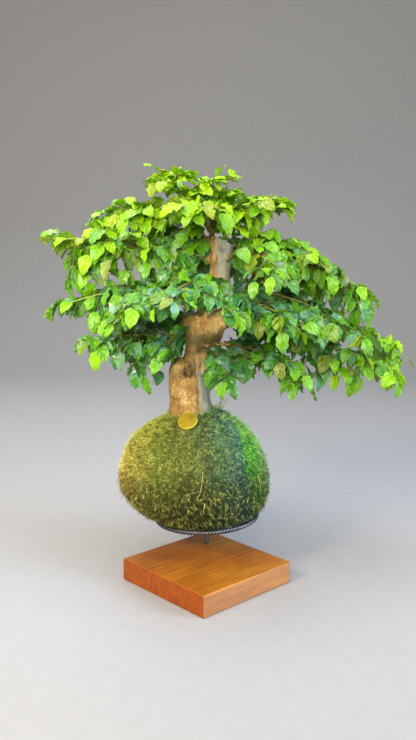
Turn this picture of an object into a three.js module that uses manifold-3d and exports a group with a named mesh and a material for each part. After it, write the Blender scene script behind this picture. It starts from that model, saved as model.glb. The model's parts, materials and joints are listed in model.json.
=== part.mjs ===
// A kokedama: a small privet tree whose root ball is wrapped in moss. The moss ball sits in a ring of
// twisted steel bar, which stands on a short post in a square block of stained wood.
// Millimetres, +Z up. The origin is the middle of the block's underside and -Y is the tree's front.
import * as THREE from 'three';
import { mergeVertices } from 'three/addons/utils/BufferGeometryUtils.js';
import Module from 'manifold-3d';

const wasm = await Module();
wasm.setup();

// Driving dimensions
const gap = 0.35; // between pieces that rest on or in each other
const block = { side: 150, thickness: 28, turn: -1.5, easedEdge: 2, cornerSteps: 2, holeDepth: 18 };
const bar = { acrossCorners: 7, twistLength: 16.7, stepsPerTurn: 5 };
const stand = { x: 0.2, y: 57.3, ringHeight: 66.6, tilt: 3.3, ringRadius: 65.5, armCount: 4 };
const ball = { centreX: -12, centreHeight: 60, mossDepth: 10, lump: 0.008, depthShare: 0.99 };
const token = { radius: 12.8, thickness: 1.6, rimWidth: 1.6, rimHeight: 0.7, sides: 15, lift: 2.1 };
const leafForm = { thickness: 0.7, freeFrom: 0.2 };
const twigForm = { mainRoot: 1.9, mainTip: 0.9, sideRoot: 1.15, sideTip: 0.8, socket: 2.4 };

// The ball's outline above the ring's plane: height, sideways shift and radius of each level
const ballLevels = [
  { height: 2.9, shift: 0, radius: 0 },
  { height: 3, shift: 0, radius: 24 },
  { height: 3.2, shift: -0.2, radius: 46 },
  { height: 3.6, shift: -0.7, radius: 58 },
  { height: 5.2, shift: -1.6, radius: 66 },
  { height: 8, shift: -2.6, radius: 71 },
  { height: 16, shift: -5.3, radius: 80.8 },
  { height: 28, shift: -8.8, radius: 90 },
  { height: 42, shift: -12.7, radius: 95.8 },
  { height: 57, shift: -15.3, radius: 97.3 },
  { height: 72, shift: -15.9, radius: 95.3 },
  { height: 87, shift: -15.4, radius: 90.7 },
  { height: 101, shift: -15.1, radius: 84.3 },
  { height: 114, shift: -14.6, radius: 74.3 },
  { height: 125, shift: -12.3, radius: 61.1 },
  { height: 134.5, shift: -9.6, radius: 46.4 },
  { height: 142, shift: -6.4, radius: 31 },
  { height: 146.5, shift: -3.7, radius: 14 },
  { height: 147.5, shift: -3.7, radius: 0 },
];

// The trunk: a thick stump, and the leaning upper trunk that grew on from it after it was cut back
const stumpLine = [
  { at: [-20, 57, 160], radius: 22 },
  { at: [-21, 57, 185], radius: 29 },
  { at: [-22, 57, 203], radius: 28.4 },
  { at: [-23, 57, 222], radius: 26.4 },
  { at: [-25.5, 57, 242], radius: 25 },
  { at: [-27, 57, 258], radius: 24 },
  { at: [-25, 57, 266], radius: 21.5 },
  { at: [-22, 57, 271], radius: 14 },
];
const upperLine = [
  { at: [-20, 59, 252], radius: 18 },
  { at: [-15, 59, 276], radius: 17.5 },
  { at: [-9, 58, 296], radius: 20.5 },
  { at: [-3, 57, 314], radius: 23 },
  { at: [5, 57, 332], radius: 20 },
  { at: [11, 57, 352], radius: 15.5 },
  { at: [14, 57, 376], radius: 12.8 },
  { at: [14.5, 57, 398], radius: 13.6 },
  { at: [15.5, 57, 416], radius: 16 },
  { at: [16, 57, 434], radius: 17 },
];
const topCut = { height: 432, fallPerMm: 0.85, from: 18 }; // the sawn top falls away to the right
const burls = [{ at: [-22, 50, 320], radius: 13.5 }];

// The boughs: where each leaves the trunk, the point it bends towards, its tip, and how its leaves are set
const boughs = [
  {
    name: 'apex', from: [4, 57, 424], via: [-2, 56, 478], tip: [8, 48, 503],
    wood: 0.55, nodes: 3, twigs: 2, spread: 34,
  },
  {
    name: 'top_left', from: [1, 57, 438], via: [-30, 47, 486], tip: [-62, 42, 508],
    wood: 0.3, nodes: 4, twigs: 2, spread: 40,
  },
  {
    name: 'upper_left', from: [2, 58, 424], via: [-72, 74, 478], tip: [-148, 84, 448],
    wood: 0.22, nodes: 5, twigs: 3, spread: 50,
  },
  {
    name: 'long_left', from: [4, 56, 402], via: [-104, 40, 430], tip: [-190, 30, 426],
    wood: 0.2, nodes: 5, twigs: 3, spread: 46,
  },
  {
    name: 'mid_left', from: [9, 56, 382], via: [-100, 30, 374], tip: [-184, 10, 345],
    wood: 0.2, nodes: 5, twigs: 3, spread: 46,
  },
  {
    name: 'low_left', from: [-22, 52, 300], via: [-86, 42, 316], tip: [-150, 26, 301],
    wood: 0.2, nodes: 5, twigs: 2, spread: 46,
  },
  {
    name: 'front_left', from: [8, 52, 372], via: [-52, -12, 384], tip: [-108, -60, 332],
    wood: 0.2, nodes: 4, twigs: 3, spread: 44,
  },
  {
    name: 'front_mid_left', from: [8, 47, 376], via: [-14, -22, 392], tip: [-58, -90, 354],
    wood: 0.2, nodes: 4, twigs: 2, spread: 40,
  },
  {
    name: 'front_mid', from: [12, 46, 356], via: [14, -12, 372], tip: [16, -90, 346],
    wood: 0.2, nodes: 4, twigs: 2, spread: 40,
  },
  {
    name: 'top_front', from: [3, 54, 434], via: [-10, 4, 484], tip: [-24, -58, 452],
    wood: 0.25, nodes: 4, twigs: 3, spread: 40,
  },
  {
    name: 'top_right', from: [5, 58, 446], via: [44, 50, 484], tip: [90, 44, 464],
    wood: 0.3, nodes: 4, twigs: 2, spread: 38,
  },
  {
    name: 'upper_right', from: [24, 62, 414], via: [84, 74, 440], tip: [146, 86, 394],
    wood: 0.22, nodes: 4, twigs: 3, spread: 48,
  },
  {
    name: 'outer_right', from: [20, 56, 400], via: [120, 58, 418], tip: [204, 56, 361],
    wood: 0.2, nodes: 5, twigs: 2, spread: 50,
  },
  {
    name: 'mid_right', from: [18, 50, 368], via: [112, 26, 368], tip: [188, 6, 312],
    wood: 0.2, nodes: 5, twigs: 2, spread: 46,
  },
  {
    name: 'right_arm', from: [14, 66, 350], via: [140, 84, 346], tip: [262, 96, 276],
    wood: 0.18, nodes: 5, twigs: 3, spread: 48,
  },
  {
    name: 'low_right_long', from: [14, 54, 322], via: [116, 44, 316], tip: [234, 22, 266],
    wood: 0.18, nodes: 5, twigs: 2, spread: 46,
  },
  {
    name: 'low_right', from: [2, 48, 296], via: [62, 14, 304], tip: [112, -26, 270],
    wood: 0.2, nodes: 4, twigs: 2, spread: 40,
  },
  {
    name: 'low_front', from: [-8, 42, 298], via: [8, 6, 300], tip: [28, -36, 262],
    wood: 0.25, nodes: 3, twigs: 2, spread: 30,
  },
  {
    name: 'front_right', from: [16, 46, 352], via: [62, -8, 364], tip: [104, -62, 326],
    wood: 0.2, nodes: 4, twigs: 2, spread: 42,
  },
  {
    name: 'front_upper_right', from: [22, 46, 404], via: [52, -2, 428], tip: [90, -72, 384],
    wood: 0.2, nodes: 4, twigs: 3, spread: 42,
  },
  {
    name: 'back_upper_left', from: [6, 66, 418], via: [-64, 132, 450], tip: [-132, 184, 412],
    wood: 0.2, nodes: 3, twigs: 2, spread: 50,
  },
  {
    name: 'back_upper_right', from: [18, 68, 408], via: [76, 132, 442], tip: [146, 188, 396],
    wood: 0.2, nodes: 3, twigs: 2, spread: 50,
  },
  {
    name: 'back_mid', from: [12, 68, 386], via: [6, 140, 424], tip: [-8, 204, 398],
    wood: 0.2, nodes: 3, twigs: 2, spread: 46,
  },
  {
    name: 'back_low_left', from: [-12, 74, 320], via: [-64, 122, 338], tip: [-126, 176, 298],
    wood: 0.2, nodes: 3, twigs: 2, spread: 44,
  },
  {
    name: 'back_low_right', from: [8, 72, 334], via: [78, 124, 342], tip: [152, 178, 284],
    wood: 0.2, nodes: 3, twigs: 2, spread: 46,
  },
  {
    name: 'inner_low_left', from: [-24, 46, 316], via: [-40, 14, 318], tip: [-58, -22, 288],
    wood: 0.25, nodes: 3, twigs: 2, spread: 30,
  },
];

// The bar's own side, and the height above the ring's plane of the arms that carry the ball's flat underside
const barSide = bar.acrossCorners * Math.SQRT1_2;
const armHeight = ballLevels[0].height - gap - barSide / 2;
const up = new THREE.Vector3(0, 0, 1);
const radians = THREE.MathUtils.degToRad;

// Solids and geometries
function solidOf(geometry) {
  const bare = geometry.clone();
  bare.deleteAttribute('normal');
  bare.deleteAttribute('uv');
  const merged = mergeVertices(bare, 1e-4);
  return new wasm.Manifold(new wasm.Mesh({
    numProp: 3,
    vertProperties: merged.getAttribute('position').array,
    triVerts: new Uint32Array(merged.index.array),
  }));
}

function geometryOf(solid) {
  const mesh = solid.getMesh();
  const geometry = new THREE.BufferGeometry();
  geometry.setAttribute('position', new THREE.BufferAttribute(mesh.vertProperties, 3));
  geometry.setIndex(new THREE.BufferAttribute(mesh.triVerts, 1));
  geometry.computeVertexNormals();
  return geometry;
}

// A seeded stream of numbers from 0 to 1, so that the plant grows the same way every time
function randomStream(seed) {
  let state = seed >>> 0;
  return () => {
    state = (Math.imul(state, 1664525) + 1013904223) >>> 0;
    return state / 4294967296;
  };
}

// A direction's own level sideways direction and its upward one
function frameOf(direction) {
  const side = new THREE.Vector3().crossVectors(direction, up).normalize();
  const rise = new THREE.Vector3().crossVectors(side, direction).normalize();
  return { side, rise };
}

// A rod along a curve: a cylinder whose rings are moved onto the curve, from an angle and turning on the way
function rod(curve, radiusAt, sides, steps, startAngle = 0, twist = 0) {
  const geometry = new THREE.CylinderGeometry(1, 1, 1, sides, steps);
  const position = geometry.getAttribute('position');
  const tangent = new THREE.Vector3();
  const chord = curve.getPoint(1).sub(curve.getPoint(0)).normalize();
  const across = Math.abs(chord.z) > 0.8 ? new THREE.Vector3(0, 1, 0) : up;
  for (let i = 0; i < position.count; i += 1) {
    const along = position.getY(i) + 0.5;
    const centre = curve.getPoint(along);
    curve.getTangent(along, tangent);
    const side = new THREE.Vector3().crossVectors(tangent, across).normalize();
    const other = new THREE.Vector3().crossVectors(side, tangent).normalize();
    const turned = Math.atan2(position.getZ(i), position.getX(i)) + startAngle + twist * along;
    const reach = Math.hypot(position.getX(i), position.getZ(i)) * radiusAt(along);
    centre.addScaledVector(side, Math.cos(turned) * reach);
    centre.addScaledVector(other, Math.sin(turned) * reach);
    position.setXYZ(i, centre.x, centre.y, centre.z);
  }
  return geometry;
}

// A rod through a list of points that each have a radius
function taperedLine(line, sides, steps, extra = 0) {
  const curve = new THREE.CatmullRomCurve3(line.map((p) => new THREE.Vector3(...p.at)), false, 'centripetal');
  const radiusAt = (along) => {
    const place = along * (line.length - 1);
    const low = Math.min(Math.floor(place), line.length - 2);
    return THREE.MathUtils.lerp(line[low].radius, line[low + 1].radius, place - low) + extra;
  };
  return rod(curve, radiusAt, sides, steps);
}

function blob(at, radius, extra = 0) {
  return new THREE.SphereGeometry(radius + extra, 7, 5).translate(...at);
}

// The wooden block, with eased edges and the post's hole
function blockGeometry(postX) {
  const half = block.side / 2 - block.easedEdge;
  const corner = block.easedEdge;
  const outline = new THREE.Shape();
  [[1, 1], [-1, 1], [-1, -1], [1, -1]].forEach(([x, y], quarter) => {
    const start = quarter * Math.PI / 2;
    outline.absarc(x * (half - corner), y * (half - corner), corner, start, start + Math.PI / 2, false);
  });
  const slab = new THREE.ExtrudeGeometry(outline, {
    depth: block.thickness - 2 * block.easedEdge,
    bevelThickness: block.easedEdge,
    bevelSize: block.easedEdge,
    bevelSegments: 2,
    curveSegments: block.cornerSteps,
  });
  slab.translate(0, 0, block.easedEdge).rotateZ(radians(45 + block.turn));
  const holeRadius = (bar.acrossCorners / 2 + gap) / Math.cos(Math.PI / 10);
  const hole = new THREE.CylinderGeometry(holeRadius, holeRadius, block.holeDepth * 2, 10);
  hole.rotateX(Math.PI / 2).translate(postX, stand.y, block.thickness);
  return geometryOf(solidOf(slab).subtract(solidOf(hole)));
}

// The stand's bars
function straightBar(x, y, low, high) {
  const line = new THREE.LineCurve3(new THREE.Vector3(x, y, low), new THREE.Vector3(x, y, high));
  const turns = (high - low) / bar.twistLength;
  const steps = Math.round(turns * bar.stepsPerTurn);
  return rod(line, () => bar.acrossCorners / 2, 4, steps, 0, turns * 2 * Math.PI);
}

// The ring: a torus of square bar, each of its sections turned a little further than the last
function ringGeometry() {
  const turns = Math.round(2 * Math.PI * stand.ringRadius / bar.twistLength);
  const steps = turns * bar.stepsPerTurn;
  const geometry = new THREE.TorusGeometry(stand.ringRadius, bar.acrossCorners / 2, 4, steps);
  const position = geometry.getAttribute('position');
  for (let i = 0; i < position.count; i += 1) {
    const angle = Math.atan2(position.getY(i), position.getX(i));
    const fromLine = Math.hypot(position.getX(i), position.getY(i)) - stand.ringRadius;
    const turned = Math.atan2(position.getZ(i), fromLine) + angle * turns;
    const reach = stand.ringRadius + Math.cos(turned) * bar.acrossCorners / 2;
    const height = Math.sin(turned) * bar.acrossCorners / 2;
    position.setXYZ(i, Math.cos(angle) * reach, Math.sin(angle) * reach, height);
  }
  return geometry;
}

// One arm of the cross inside the ring, from the post's side to the ring's inner face
function armGeometry(index) {
  const angle = Math.PI / 4 + index * 2 * Math.PI / stand.armCount;
  const place = (reach) => (
    new THREE.Vector3(Math.cos(angle) * reach, Math.sin(angle) * reach, armHeight)
  );
  const start = bar.acrossCorners / 2 + 2 * gap;
  const end = stand.ringRadius - bar.acrossCorners / 2 - gap;
  const line = new THREE.LineCurve3(place(start), place(end));
  return rod(line, () => bar.acrossCorners / 2, 4, 1, Math.PI / 4);
}

// The ball's surface, moved inwards by depth: rows from the bottom up, each a level circle with shallow lumps
const levelCurve = new THREE.CatmullRomCurve3(
  ballLevels.map((level) => new THREE.Vector3(level.shift, level.height, level.radius)), false, 'centripetal',
);

function ballPoint(angle, rise, depth) {
  const level = levelCurve.getPointAt(rise);
  const swell = ball.lump * Math.sin(Math.PI * rise) ** 4;
  const lumps = 1 + swell * (Math.sin(3 * angle + rise * 5) + 0.7 * Math.sin(5 * angle - rise * 9));
  const centre = new THREE.Vector3(ball.centreX, 0, ball.centreHeight);
  const point = new THREE.Vector3(
    level.x + level.z * lumps * Math.cos(angle),
    level.z * lumps * Math.sin(angle) * ball.depthShare,
    level.y,
  );
  return point.addScaledVector(point.clone().sub(centre).normalize(), -depth);
}

function ballGeometry(depth, around, rows) {
  const geometry = new THREE.SphereGeometry(1, around, rows);
  const position = geometry.getAttribute('position');
  const uv = geometry.getAttribute('uv');
  for (let i = 0; i < position.count; i += 1) {
    const point = ballPoint(-uv.getX(i) * 2 * Math.PI, 1 - uv.getY(i), depth);
    position.setXYZ(i, point.x, point.y, point.z);
  }
  return geometry;
}

// The token: a plain disc with a raised rim
function tokenGeometry() {
  const { radius, thickness, rimWidth } = token;
  const rimTop = thickness + token.rimHeight;
  const profile = [
    [0, 0], [radius - 0.6, 0], [radius, 0.6], [radius, rimTop - 0.4], [radius - 0.5, rimTop],
    [radius - rimWidth, rimTop], [radius - rimWidth - 0.5, thickness], [0, thickness],
  ].map(([x, y]) => new THREE.Vector2(x, y));
  return new THREE.LatheGeometry(profile, token.sides).rotateX(Math.PI / 2);
}

// A leaf blade's points, row by row: left edge, midrib and right edge at each place along it, then the tip,
// on the upper face (1) or the lower one (-1)
const bladeRows = [{ along: 0.36, width: 1 }, { along: 0.7, width: 0.7 }];

function bladePoint(leaf, along, sideways, wave, raise) {
  const bend = leaf.curl * along;
  const across = new THREE.Vector3().crossVectors(leaf.normal, leaf.direction);
  const normal = leaf.normal.clone().multiplyScalar(Math.cos(bend))
    .addScaledVector(leaf.direction, Math.sin(bend));
  return leaf.root.clone()
    .addScaledVector(leaf.direction, leaf.length * Math.sin(bend) / leaf.curl)
    .addScaledVector(leaf.normal, -leaf.length * (1 - Math.cos(bend)) / leaf.curl)
    .addScaledVector(across, sideways)
    .addScaledVector(normal, wave + Math.abs(sideways) * leaf.fold + raise);
}

function bladePoints(leaf, face) {
  const raise = face * leaf.thickness / 2;
  const points = bladeRows.flatMap((row, i) => {
    const half = row.width * leaf.width / 2;
    const wave = leaf.wave * (i === 0 ? 1 : -1);
    return [
      bladePoint(leaf, row.along, half, wave, raise),
      bladePoint(leaf, row.along, 0, 0, raise),
      bladePoint(leaf, row.along, -half, -wave, raise),
    ];
  });
  points.push(bladePoint(leaf, 1, 0, 0, raise));
  return points;
}

// The blade's upper faces and its outline, where 0 and 1 are its root's left and right corner
const bladeFaces = [
  [0, 1, 3], [0, 3, 2], [1, 4, 3], [2, 3, 6], [2, 6, 5], [3, 4, 7], [3, 7, 6], [5, 6, 8], [6, 7, 8],
];
const bladeOutline = [1, 4, 7, 8, 5, 2, 0];

// A surface that grows face by face from shared points
class Growth {
  constructor() {
    this.points = [];
    this.faces = [];
  }

  point(p) {
    this.points.push(p);
    return this.points.length - 1;
  }

  // Four corners that face outwards: upper right, upper left, lower left, lower right, seen from behind
  close([a, b, c, d]) {
    this.faces.push([a, c, b], [a, d, c]);
  }

  ring(centre, tangent, radius) {
    const { side, rise } = frameOf(tangent);
    const reach = radius * Math.SQRT1_2;
    return [[1, 1], [-1, 1], [-1, -1], [1, -1]].map(([x, y]) => this.point(
      centre.clone().addScaledVector(side, x * reach).addScaledVector(rise, y * reach),
    ));
  }

  // Joins two rings, leaving out the right and left side where something is to grow, and returns those
  // openings
  tube(from, to, open = false) {
    [0, 1, 2, 3].forEach((i) => {
      if (open && (i === 3 || i === 1)) return;
      const j = (i + 1) % 4;
      this.faces.push([from[i], to[j], from[j]], [from[i], to[i], to[j]]);
    });
    return { right: [from[0], to[0], to[3], from[3]], left: [to[1], from[1], from[2], to[2]] };
  }

  leaf([a, b, c, d], leaf) {
    const upper = [b, a, ...bladePoints(leaf, 1).map((p) => this.point(p))];
    const lower = [c, d, ...bladePoints(leaf, -1).map((p) => this.point(p))];
    bladeFaces.forEach(([i, j, k]) => this.faces.push(
      [upper[i], upper[j], upper[k]], [lower[i], lower[k], lower[j]],
    ));
    bladeOutline.slice(0, -1).forEach((i, n) => {
      const j = bladeOutline[n + 1];
      this.faces.push([upper[j], upper[i], lower[i]], [upper[j], lower[i], lower[j]]);
    });
  }

  geometry() {
    const geometry = new THREE.BufferGeometry().setFromPoints(this.points);
    geometry.setIndex(this.faces.flat());
    return geometry;
  }
}

// A blade by itself, a little larger than it will be, from its root or from a share of its length
function bladeRoom(leaf, extra, from) {
  const room = new Growth();
  const root = leaf.root.clone().addScaledVector(leaf.direction, from * leaf.length);
  const socket = room.ring(root, leaf.direction, 1.7);
  room.close([socket[0], socket[3], socket[2], socket[1]]);
  room.leaf(socket, {
    ...leaf,
    width: leaf.width + 2 * extra,
    length: leaf.length + extra,
    thickness: leaf.thickness + 2 * extra,
  });
  return solidOf(room.geometry());
}

// Draws one leaf's form: turn is its angle from the twig, and the rest comes from the random stream
function drawLeaf(root, tangent, sideSign, size, random) {
  const { side } = frameOf(tangent);
  const turn = radians(44 + 30 * random());
  const droop = -0.15 + 0.8 * random();
  const roll = radians(-38 + 76 * random());
  const length = size * (0.84 + 0.32 * random());
  const width = length * (0.48 + 0.12 * random());
  const curl = 0.35 + 0.7 * random();
  const fold = 0.12 + 0.3 * random();
  const wave = (random() - 0.5) * 2.2;
  const { thickness } = leafForm;
  return { root, tangent, side, sideSign, turn, droop, roll, length, width, thickness, curl, fold, wave };
}

// Sets a drawn leaf in place, with extra droop, turn, roll and size where it has to be bent clear
function setLeaf(drawn, extra = { droop: 0, turn: 0, roll: 0, size: 1 }) {
  const turn = drawn.sideSign === 0 ? 0 : drawn.turn + extra.turn;
  const direction = drawn.tangent.clone().multiplyScalar(Math.cos(turn))
    .addScaledVector(drawn.side, drawn.sideSign * Math.sin(turn))
    .addScaledVector(up, -(drawn.droop + extra.droop))
    .normalize();
  const normal = up.clone().addScaledVector(direction, -up.dot(direction)).normalize();
  normal.applyAxisAngle(direction, drawn.roll + extra.roll);
  return {
    ...drawn, direction, normal, length: drawn.length * extra.size, width: drawn.width * extra.size,
  };
}

// The ways a leaf may bend clear of what it would touch, tried in this order
const bends = [
  { droop: 0, turn: 0, roll: 0, size: 1 },
  { droop: 0.35, turn: 0, roll: 0, size: 1 },
  { droop: -0.35, turn: 0, roll: 0, size: 1 },
  { droop: 0, turn: 0.4, roll: 0.3, size: 1 },
  { droop: 0, turn: -0.4, roll: -0.3, size: 1 },
  { droop: 0.6, turn: 0.3, roll: 0, size: 0.92 },
  { droop: -0.6, turn: -0.3, roll: 0, size: 0.92 },
  { droop: 0.9, turn: -0.5, roll: 0.4, size: 0.85 },
  { droop: -0.8, turn: 0.5, roll: -0.4, size: 0.85 },
];

// What has been placed so far, with each solid's owner, so that nothing is laid across another piece
const placed = [];

function boxesMeet(a, b) {
  return [0, 1, 2].every((i) => a.min[i] <= b.max[i] && b.min[i] <= a.max[i]);
}

function isClear(solid, skips) {
  const box = solid.boundingBox();
  return placed
    .filter((other) => !skips(other) && boxesMeet(box, other.box))
    .every((other) => solid.intersect(other.solid).isEmpty());
}

function keep(solid, owner, kind) {
  placed.push({ solid, owner, kind, box: solid.boundingBox() });
}

// A side twig with two opposite leaves and one at its tip
function sideTwig(start, tangent, sideSign, length, size, random) {
  const { side, rise } = frameOf(tangent);
  const heading = tangent.clone().multiplyScalar(0.62)
    .addScaledVector(side, sideSign * 0.78)
    .addScaledVector(rise, -0.25 + 0.6 * random())
    .normalize();
  const sag = length * (0.1 + 0.25 * random());
  const end = start.clone().addScaledVector(heading, length).addScaledVector(up, -sag);
  const middle = start.clone().addScaledVector(heading, length * 0.55).addScaledVector(up, length * 0.06);
  const curve = new THREE.QuadraticBezierCurve3(start, middle, end);
  const leafAt = (along, sign) => (
    drawLeaf(curve.getPoint(along), curve.getTangent(along), sign, size, random)
  );
  return {
    curve,
    root: twigForm.sideRoot,
    tip: twigForm.sideTip,
    nodes: [{ along: 0.6, right: leafAt(0.6, 1), left: leafAt(0.6, -1) }],
    end: leafAt(1, 0),
  };
}

// One bough: its curve, and its twig with side twigs and leaves in opposite pairs along it
function planBough(bough, index) {
  const random = randomStream(7919 * (index + 1));
  const points = [bough.from, bough.via, bough.tip].map((p) => new THREE.Vector3(...p));
  const curve = new THREE.QuadraticBezierCurve3(...points);
  const start = bough.wood + gap / curve.getLength();
  const twig = { curve: stretch(curve, start, 1), root: twigForm.mainRoot, tip: twigForm.mainTip, nodes: [] };
  for (let node = 0; node < bough.nodes; node += 1) {
    const share = (node + 0.75) / (bough.nodes + 0.35);
    const root = twig.curve.getPoint(share);
    const tangent = twig.curve.getTangent(share);
    const branching = node % 2 === 0 ? 1 : -1;
    const size = 31 - 9 * share;
    const grown = [1, -1].map((sign) => {
      if (node >= bough.twigs || sign !== branching) return drawLeaf(root, tangent, sign, size, random);
      const length = bough.spread * (0.85 + 0.3 * random());
      return sideTwig(root, tangent, sign, length, size * 0.94, random);
    });
    twig.nodes.push({ along: share, right: grown[0], left: grown[1] });
  }
  twig.end = drawLeaf(twig.curve.getPoint(1), twig.curve.getTangent(1), 0, 21, random);
  return { ...bough, curve, twig };
}

// The stretch of a bough's curve between two shares of its length
function stretch(curve, low, high) {
  const part = new THREE.Curve();
  part.getPoint = (along, target) => curve.getPoint(low + (high - low) * along, target);
  part.getTangent = (along, target) => curve.getTangent(low + (high - low) * along, target);
  return part;
}

// Grows a twig from an opening, or from its own flat foot, with what stands at each of its nodes
function growTwig(growth, twig, socket) {
  const length = twig.curve.getLength();
  const ringAt = (along) => {
    const radius = THREE.MathUtils.lerp(twig.root, twig.tip, along);
    return growth.ring(twig.curve.getPoint(along), twig.curve.getTangent(along), radius);
  };
  let last = socket;
  if (!socket) {
    last = ringAt(0);
    growth.close([last[0], last[3], last[2], last[1]]);
  }
  twig.nodes.forEach((node) => {
    const half = twigForm.socket / 2 / length;
    const before = ringAt(node.along - half);
    const after = ringAt(node.along + half);
    growth.tube(last, before);
    const openings = growth.tube(before, after, true);
    fillOpening(growth, openings.right, node.right);
    fillOpening(growth, openings.left, node.left);
    last = after;
  });
  const end = ringAt(1);
  growth.tube(last, end);
  fillOpening(growth, end, twig.end);
}

function fillOpening(growth, opening, grown) {
  if (grown && grown.nodes) growTwig(growth, grown, opening);
  else if (grown && grown.set) growth.leaf(opening, grown.set);
  else growth.close(opening);
}

const plans = boughs.map(planBough);

// The wood: the stump, the upper trunk, its burls and each bough's woody foot, grown together
function woodSolid(extra = 0) {
  const upper = taperedLine(upperLine, 10, 13, extra);
  const position = upper.getAttribute('position');
  for (let i = 0; i < position.count; i += 1) {
    const limit = topCut.height - Math.max(0, position.getX(i) - topCut.from) * topCut.fallPerMm + extra;
    position.setZ(i, Math.min(position.getZ(i), limit));
  }
  const stump = taperedLine(stumpLine, 12, 9, extra);
  const ends = stump.getAttribute('position');
  for (let i = 0; i < ends.count; i += 1) {
    if (ends.getZ(i) < stumpLine[0].at[2] + 3) ends.setZ(i, ends.getZ(i) - extra);
  }
  return [stump, upper, ...burls.map((burl) => blob(burl.at, burl.radius, extra))]
    .map(solidOf)
    .reduce((whole, part) => whole.add(part));
}

function limbSolid(plan) {
  const share = plan.curve.getLength() * plan.wood;
  const root = THREE.MathUtils.clamp(2.2 + share * 0.035, 2.6, 4.6);
  const radiusAt = (along) => THREE.MathUtils.lerp(root, twigForm.mainRoot + 0.1, along);
  return solidOf(rod(stretch(plan.curve, 0, plan.wood), radiusAt, 4, 2));
}

const bareTrunk = woodSolid();
const limbs = plans.map(limbSolid);
const trunk = limbs.reduce((whole, limb) => whole.add(limb), bareTrunk);
keep(trunk, 'trunk', 'wood');

// The stand's head: the ring, the arms, the ball and its moss lean together, away from upright
const head = new THREE.Group();
head.position.set(stand.x, stand.y, stand.ringHeight);
head.rotation.y = -radians(stand.tilt);
head.updateMatrixWorld(true);
const intoHead = head.matrixWorld.clone().invert();
const postX = stand.x - armHeight * Math.sin(radians(stand.tilt));

const trunkRoom = woodSolid(gap).transform(intoHead.elements);
const outside = solidOf(ballGeometry(0, 26, 15));
const core = solidOf(ballGeometry(ball.mossDepth, 18, 9));
const largestOf = (solid) => solid.decompose().sort((a, b) => b.volume() - a.volume())[0];
const soil = largestOf(solidOf(ballGeometry(ball.mossDepth + gap, 18, 9)).subtract(trunkRoom));
const moss = largestOf(outside.subtract(core).subtract(trunkRoom));
keep(moss.transform(head.matrixWorld.elements), 'moss_skin', 'ball');

// Every twig is laid first and then every leaf, so that leaves bend clear of all twigs
function twigRoom(twig, steps) {
  const radiusAt = (along) => THREE.MathUtils.lerp(twig.root, twig.tip, along) + gap;
  return solidOf(rod(twig.curve, radiusAt, 4, steps));
}

const inForm = (twig) => twig.nodes.flatMap((node) => [node.right, node.left]).concat(twig.end);
plans.forEach((plan) => keep(twigRoom(plan.twig, 6), plan.name, 'twig'));
plans.forEach((plan) => {
  inForm(plan.twig).filter((grown) => grown.nodes).forEach((twig) => {
    const room = twigRoom(twig, 2);
    twig.dropped = !isClear(room, (other) => other.owner === plan.name);
    if (!twig.dropped) keep(room, plan.name, 'twig');
  });
});

function placeLeaf(leaf, owner) {
  const way = bends.findIndex((bend) => {
    const set = setLeaf(leaf, bend);
    return isClear(bladeRoom(set, gap, 0), (other) => other.owner === owner)
      && isClear(bladeRoom(set, gap, leafForm.freeFrom), (other) => other.owner !== owner);
  });
  if (way < 0) return;
  leaf.set = setLeaf(leaf, bends[way]);
  keep(bladeRoom(leaf.set, 0, 0), owner, 'leaf');
}

const sprays = plans.map((plan) => {
  const grown = inForm(plan.twig);
  grown.filter((one) => !one.nodes).forEach((leaf) => placeLeaf(leaf, plan.name));
  const sideTwigs = grown.filter((one) => one.nodes && !one.dropped);
  sideTwigs.flatMap(inForm).forEach((leaf) => placeLeaf(leaf, plan.name));
  plan.twig.nodes.forEach((node) => {
    if (node.right.dropped) node.right = null;
    if (node.left.dropped) node.left = null;
  });
  const growth = new Growth();
  growTwig(growth, plan.twig, null);
  return growth.geometry();
});

// Materials
const finish = {
  wood: new THREE.MeshStandardMaterial({ color: 0x9a5a2c, roughness: 0.45, metalness: 0 }),
  steel: new THREE.MeshStandardMaterial({ color: 0x3b3d42, roughness: 0.45, metalness: 0.8 }),
  moss: new THREE.MeshStandardMaterial({ color: 0x5f6a22, roughness: 0.95, metalness: 0 }),
  soil: new THREE.MeshStandardMaterial({ color: 0x2e2119, roughness: 1, metalness: 0 }),
  bark: new THREE.MeshStandardMaterial({ color: 0xa98355, roughness: 0.85, metalness: 0 }),
  brass: new THREE.MeshStandardMaterial({ color: 0xd9a821, roughness: 0.35, metalness: 0.6 }),
  leaf: new THREE.MeshStandardMaterial({ color: 0x4f9a1e, roughness: 0.4, metalness: 0 }),
};

function piece(name, geometry, material) {
  const mesh = new THREE.Mesh(geometry, material);
  mesh.name = name;
  return mesh;
}

const kokedama = new THREE.Group();
kokedama.add(piece('base_block', blockGeometry(postX), finish.wood));
const postTop = stand.ringHeight + armHeight + barSide / 2 - gap / 2;
kokedama.add(piece(
  'stand_post', straightBar(postX, stand.y, block.thickness - block.holeDepth + gap, postTop), finish.steel,
));
head.add(piece('stand_ring', ringGeometry(), finish.steel));
for (let i = 0; i < stand.armCount; i += 1) {
  head.add(piece(`stand_arm_${i + 1}`, armGeometry(i), finish.steel));
}
head.add(piece('soil_ball', geometryOf(soil), finish.soil));
head.add(piece('moss_skin', geometryOf(moss), finish.moss));

// The token leans on the moss in front of the trunk
const tokenPlace = { angle: radians(-100), rise: 0.836, facing: [-0.23, -0.6, 0.77] };
const tokenMesh = piece('moss_token', tokenGeometry(), finish.brass);
const lying = ballPoint(tokenPlace.angle, tokenPlace.rise, 0);
const outwards = new THREE.Vector3(...tokenPlace.facing).transformDirection(intoHead);
tokenMesh.position.copy(lying).addScaledVector(outwards, token.lift);
tokenMesh.quaternion.setFromUnitVectors(up, outwards);
head.add(tokenMesh);
kokedama.add(head);

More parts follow.
